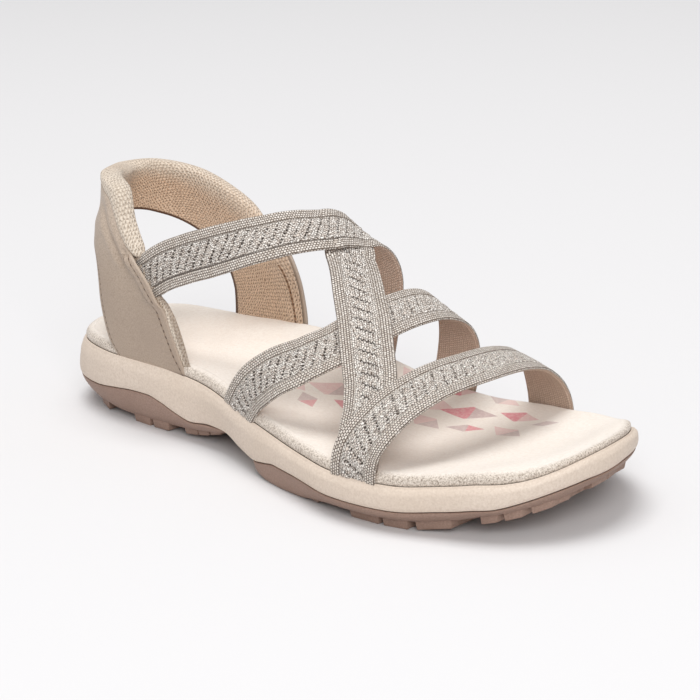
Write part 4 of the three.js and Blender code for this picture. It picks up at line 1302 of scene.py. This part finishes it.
# Painted light: the lit crest and the front column are given the outer cream.
crest = smoothstep(forward, 0.62, 0.95) * bump(at_run, 0.55, 0.26)
outward = np.maximum(outward, 0.85 * crest)
column = smoothstep(forward, 0.86, 0.97) * (1 - smoothstep(at_run, 0.40, 0.50))
outward = np.maximum(outward, column)
binding = 1 - smoothstep(rounded[..., 0], 0.040, 0.055)
raw_edge = smoothstep(rounded[..., 0] - reach[:, None], -0.03, -0.005) * (at_run < 0.24)
binding = np.maximum(binding, 0.45 * raw_edge)
MEDIAL_LINE = [(0.820, 0.860), (0.837, 0.885), (0.876, 0.900), (0.919, 0.905), (1.0, 0.91)]
seam_share = curves(MEDIAL_LINE)[0](runs)[:, None]
inner_row = np.where((at_run > 0.822) & (rounded[..., 1] > under + 1.2),
                     (rounded[..., 0] - seam_share) * SLING_WIDTH, NO_SEAM)
sling_pad = sling_sheet("sling_lining", rounded[..., 0], rounded[..., 1], outer=outward,
                        binding=binding, row=inner_row)

# %% Finish the spacer mesh
DIMPLE = 1.9
TWILL = 1.0
mesh = Finish("spacer_mesh", colour(214, 190, 166), 0.9, Specular_IOR_Level=0.2,
              Sheen_Weight=0.2, Sheen_Roughness=0.5)
sway = mesh.add("TexNoise", {"Vector": mesh.place(0.0016, flat=True),
                             "Scale": 1.0}).outputs["Color"]
sway = mesh.add("VectorMath", {0: sway, 3: 1.7}, operation="SCALE").outputs[0]
diagonal = mesh.place(0.001, flat=True, turn=math.radians(45))
parts = mesh.add("SeparateXYZ", {0: mesh.add("VectorMath", {0: diagonal, 1: sway},
                                             operation="ADD").outputs[0]})
waves = [mesh.math("SINE", mesh.math("MULTIPLY", parts.outputs[k], 2 * math.pi / DIMPLE))
         for k in (0, 1)]
dimple = mesh.ramp(mesh.math("MULTIPLY", waves[0], waves[1]), (0.30, 0.0), (0.70, 1.0))
twill = mesh.math("SINE", mesh.math("MULTIPLY", parts.outputs[0], 2 * math.pi / TWILL))
twill = mesh.math("MULTIPLY_ADD", twill, 0.5, 0.5)
fuzz = mesh.noise(mesh.place(0.0005), 3, 0.7)
# The inner tones mix the lining's own tan with painted shade.
light = mesh.mix(mesh.attribute("outer"), colour(234, 207, 181), colour(229, 216, 200))
dark = mesh.mix(mesh.attribute("outer"), colour(204, 174, 147), colour(203, 187, 169))
tone = mesh.mix(mesh.ramp(twill, (0.1, 0.0), (0.6, 1.0)), dark, light)
tone = mesh.mix(mesh.ramp(fuzz, (0.3, 0.5), (0.5, 0.0)), tone, dark)
# Painted shade: the dents of the waffle are painted dark, darker still on the shaded inner
# side.
hole_tone = mesh.mix(mesh.attribute("outer"), colour(134, 104, 81), colour(172, 154, 136))
tone = mesh.mix(mesh.math("MULTIPLY", dimple, 0.7), tone, hole_tone)
waffle = mesh.math("SUBTRACT", mesh.math("MULTIPLY", twill, 0.35), dimple)
seam = mesh.math("ABSOLUTE", mesh.attribute("row"))
seam_row = mesh.math("LESS_THAN", seam, 0.45)
dashes = mesh.add("SeparateXYZ", {0: mesh.place(0.002, flat=True)}).outputs[0]
pulse = mesh.math("FRACT", dashes)
seam_thread = mesh.math("MULTIPLY", seam_row, mesh.math("LESS_THAN", pulse, 0.6))
tone = mesh.mix(seam_row, tone, colour(120, 88, 64))
tone = mesh.mix(seam_thread, tone, colour(168, 134, 106))
tone = mesh.mix(mesh.attribute("binding"), tone, colour(96, 66, 46))
mesh.set("Base Color", tone)
sunk = mesh.math("SUBTRACT", mesh.math("MULTIPLY", seam_thread, 0.7), seam_row)
mesh.set("Normal", mesh.relief(sunk, 0.0005, 0.8, mesh.relief(
    waffle, 0.0006, 0.7, mesh.relief(fuzz, 0.0003, 0.5))))
dress(sling_pad, mesh.material, "lining_mesh", "sling_pad")

# %% [markdown]
# The studio is a plain pale floor under soft light: a wide overhead box a little to the
# left, a weaker fill from the camera's side and an even white surround.

# %% Light the studio
bpy.ops.object.select_all(action="DESELECT")
bpy.ops.mesh.primitive_plane_add(size=12, location=(0, 0, 0))
floor = bpy.context.object
floor.name = "studio_floor"
paper = Finish("pale_floor", colour(227, 226, 227), 0.9, Specular_IOR_Level=0.1)
floor.data.materials.append(paper.material)
floor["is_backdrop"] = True


def soft_box(name, place, target, size, power):
    bpy.ops.object.light_add(type="AREA", location=place)
    lamp = bpy.context.object
    lamp.name = name
    lamp.data.shape = "RECTANGLE"
    lamp.data.size, lamp.data.size_y = size
    lamp.data.energy = power
    aim = Vector(target) - Vector(place)
    lamp.rotation_euler = aim.to_track_quat("-Z", "Y").to_euler()
    return lamp


OVERHEAD_POWER, FILL_POWER, SURROUND = 124, 25, 0.46
soft_box("overhead_box", (-0.4, -0.1, 4.5), (0, 0, 0), (2.8, 2.4), OVERHEAD_POWER)
soft_box("fill_box", (1.5, -1.3, 1.4), (0, 0, 0.04), (1.4, 1.2), FILL_POWER)
world = bpy.data.worlds.new("white_surround")
world.use_nodes = True
world.node_tree.nodes["Background"].inputs["Color"].default_value = (1, 1, 1, 1)
world.node_tree.nodes["Background"].inputs["Strength"].default_value = SURROUND
bpy.context.scene.world = world

# %% [markdown]
# The last cell compares the finished model with the fixed frame.

# %% Print how far the model grows past the frame
low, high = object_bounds()
size = {"cad": [list(cad_low), list(cad_high)], "visual": [list(low), list(high)]}
print("grown by, mm:", [round((a - b) / MM, 1) for a, b in
                        ((cad_low.x, low.x), (cad_low.y, low.y), (cad_low.z, low.z),
                         (high.x, cad_high.x), (high.y, cad_high.y), (high.z, cad_high.z))])
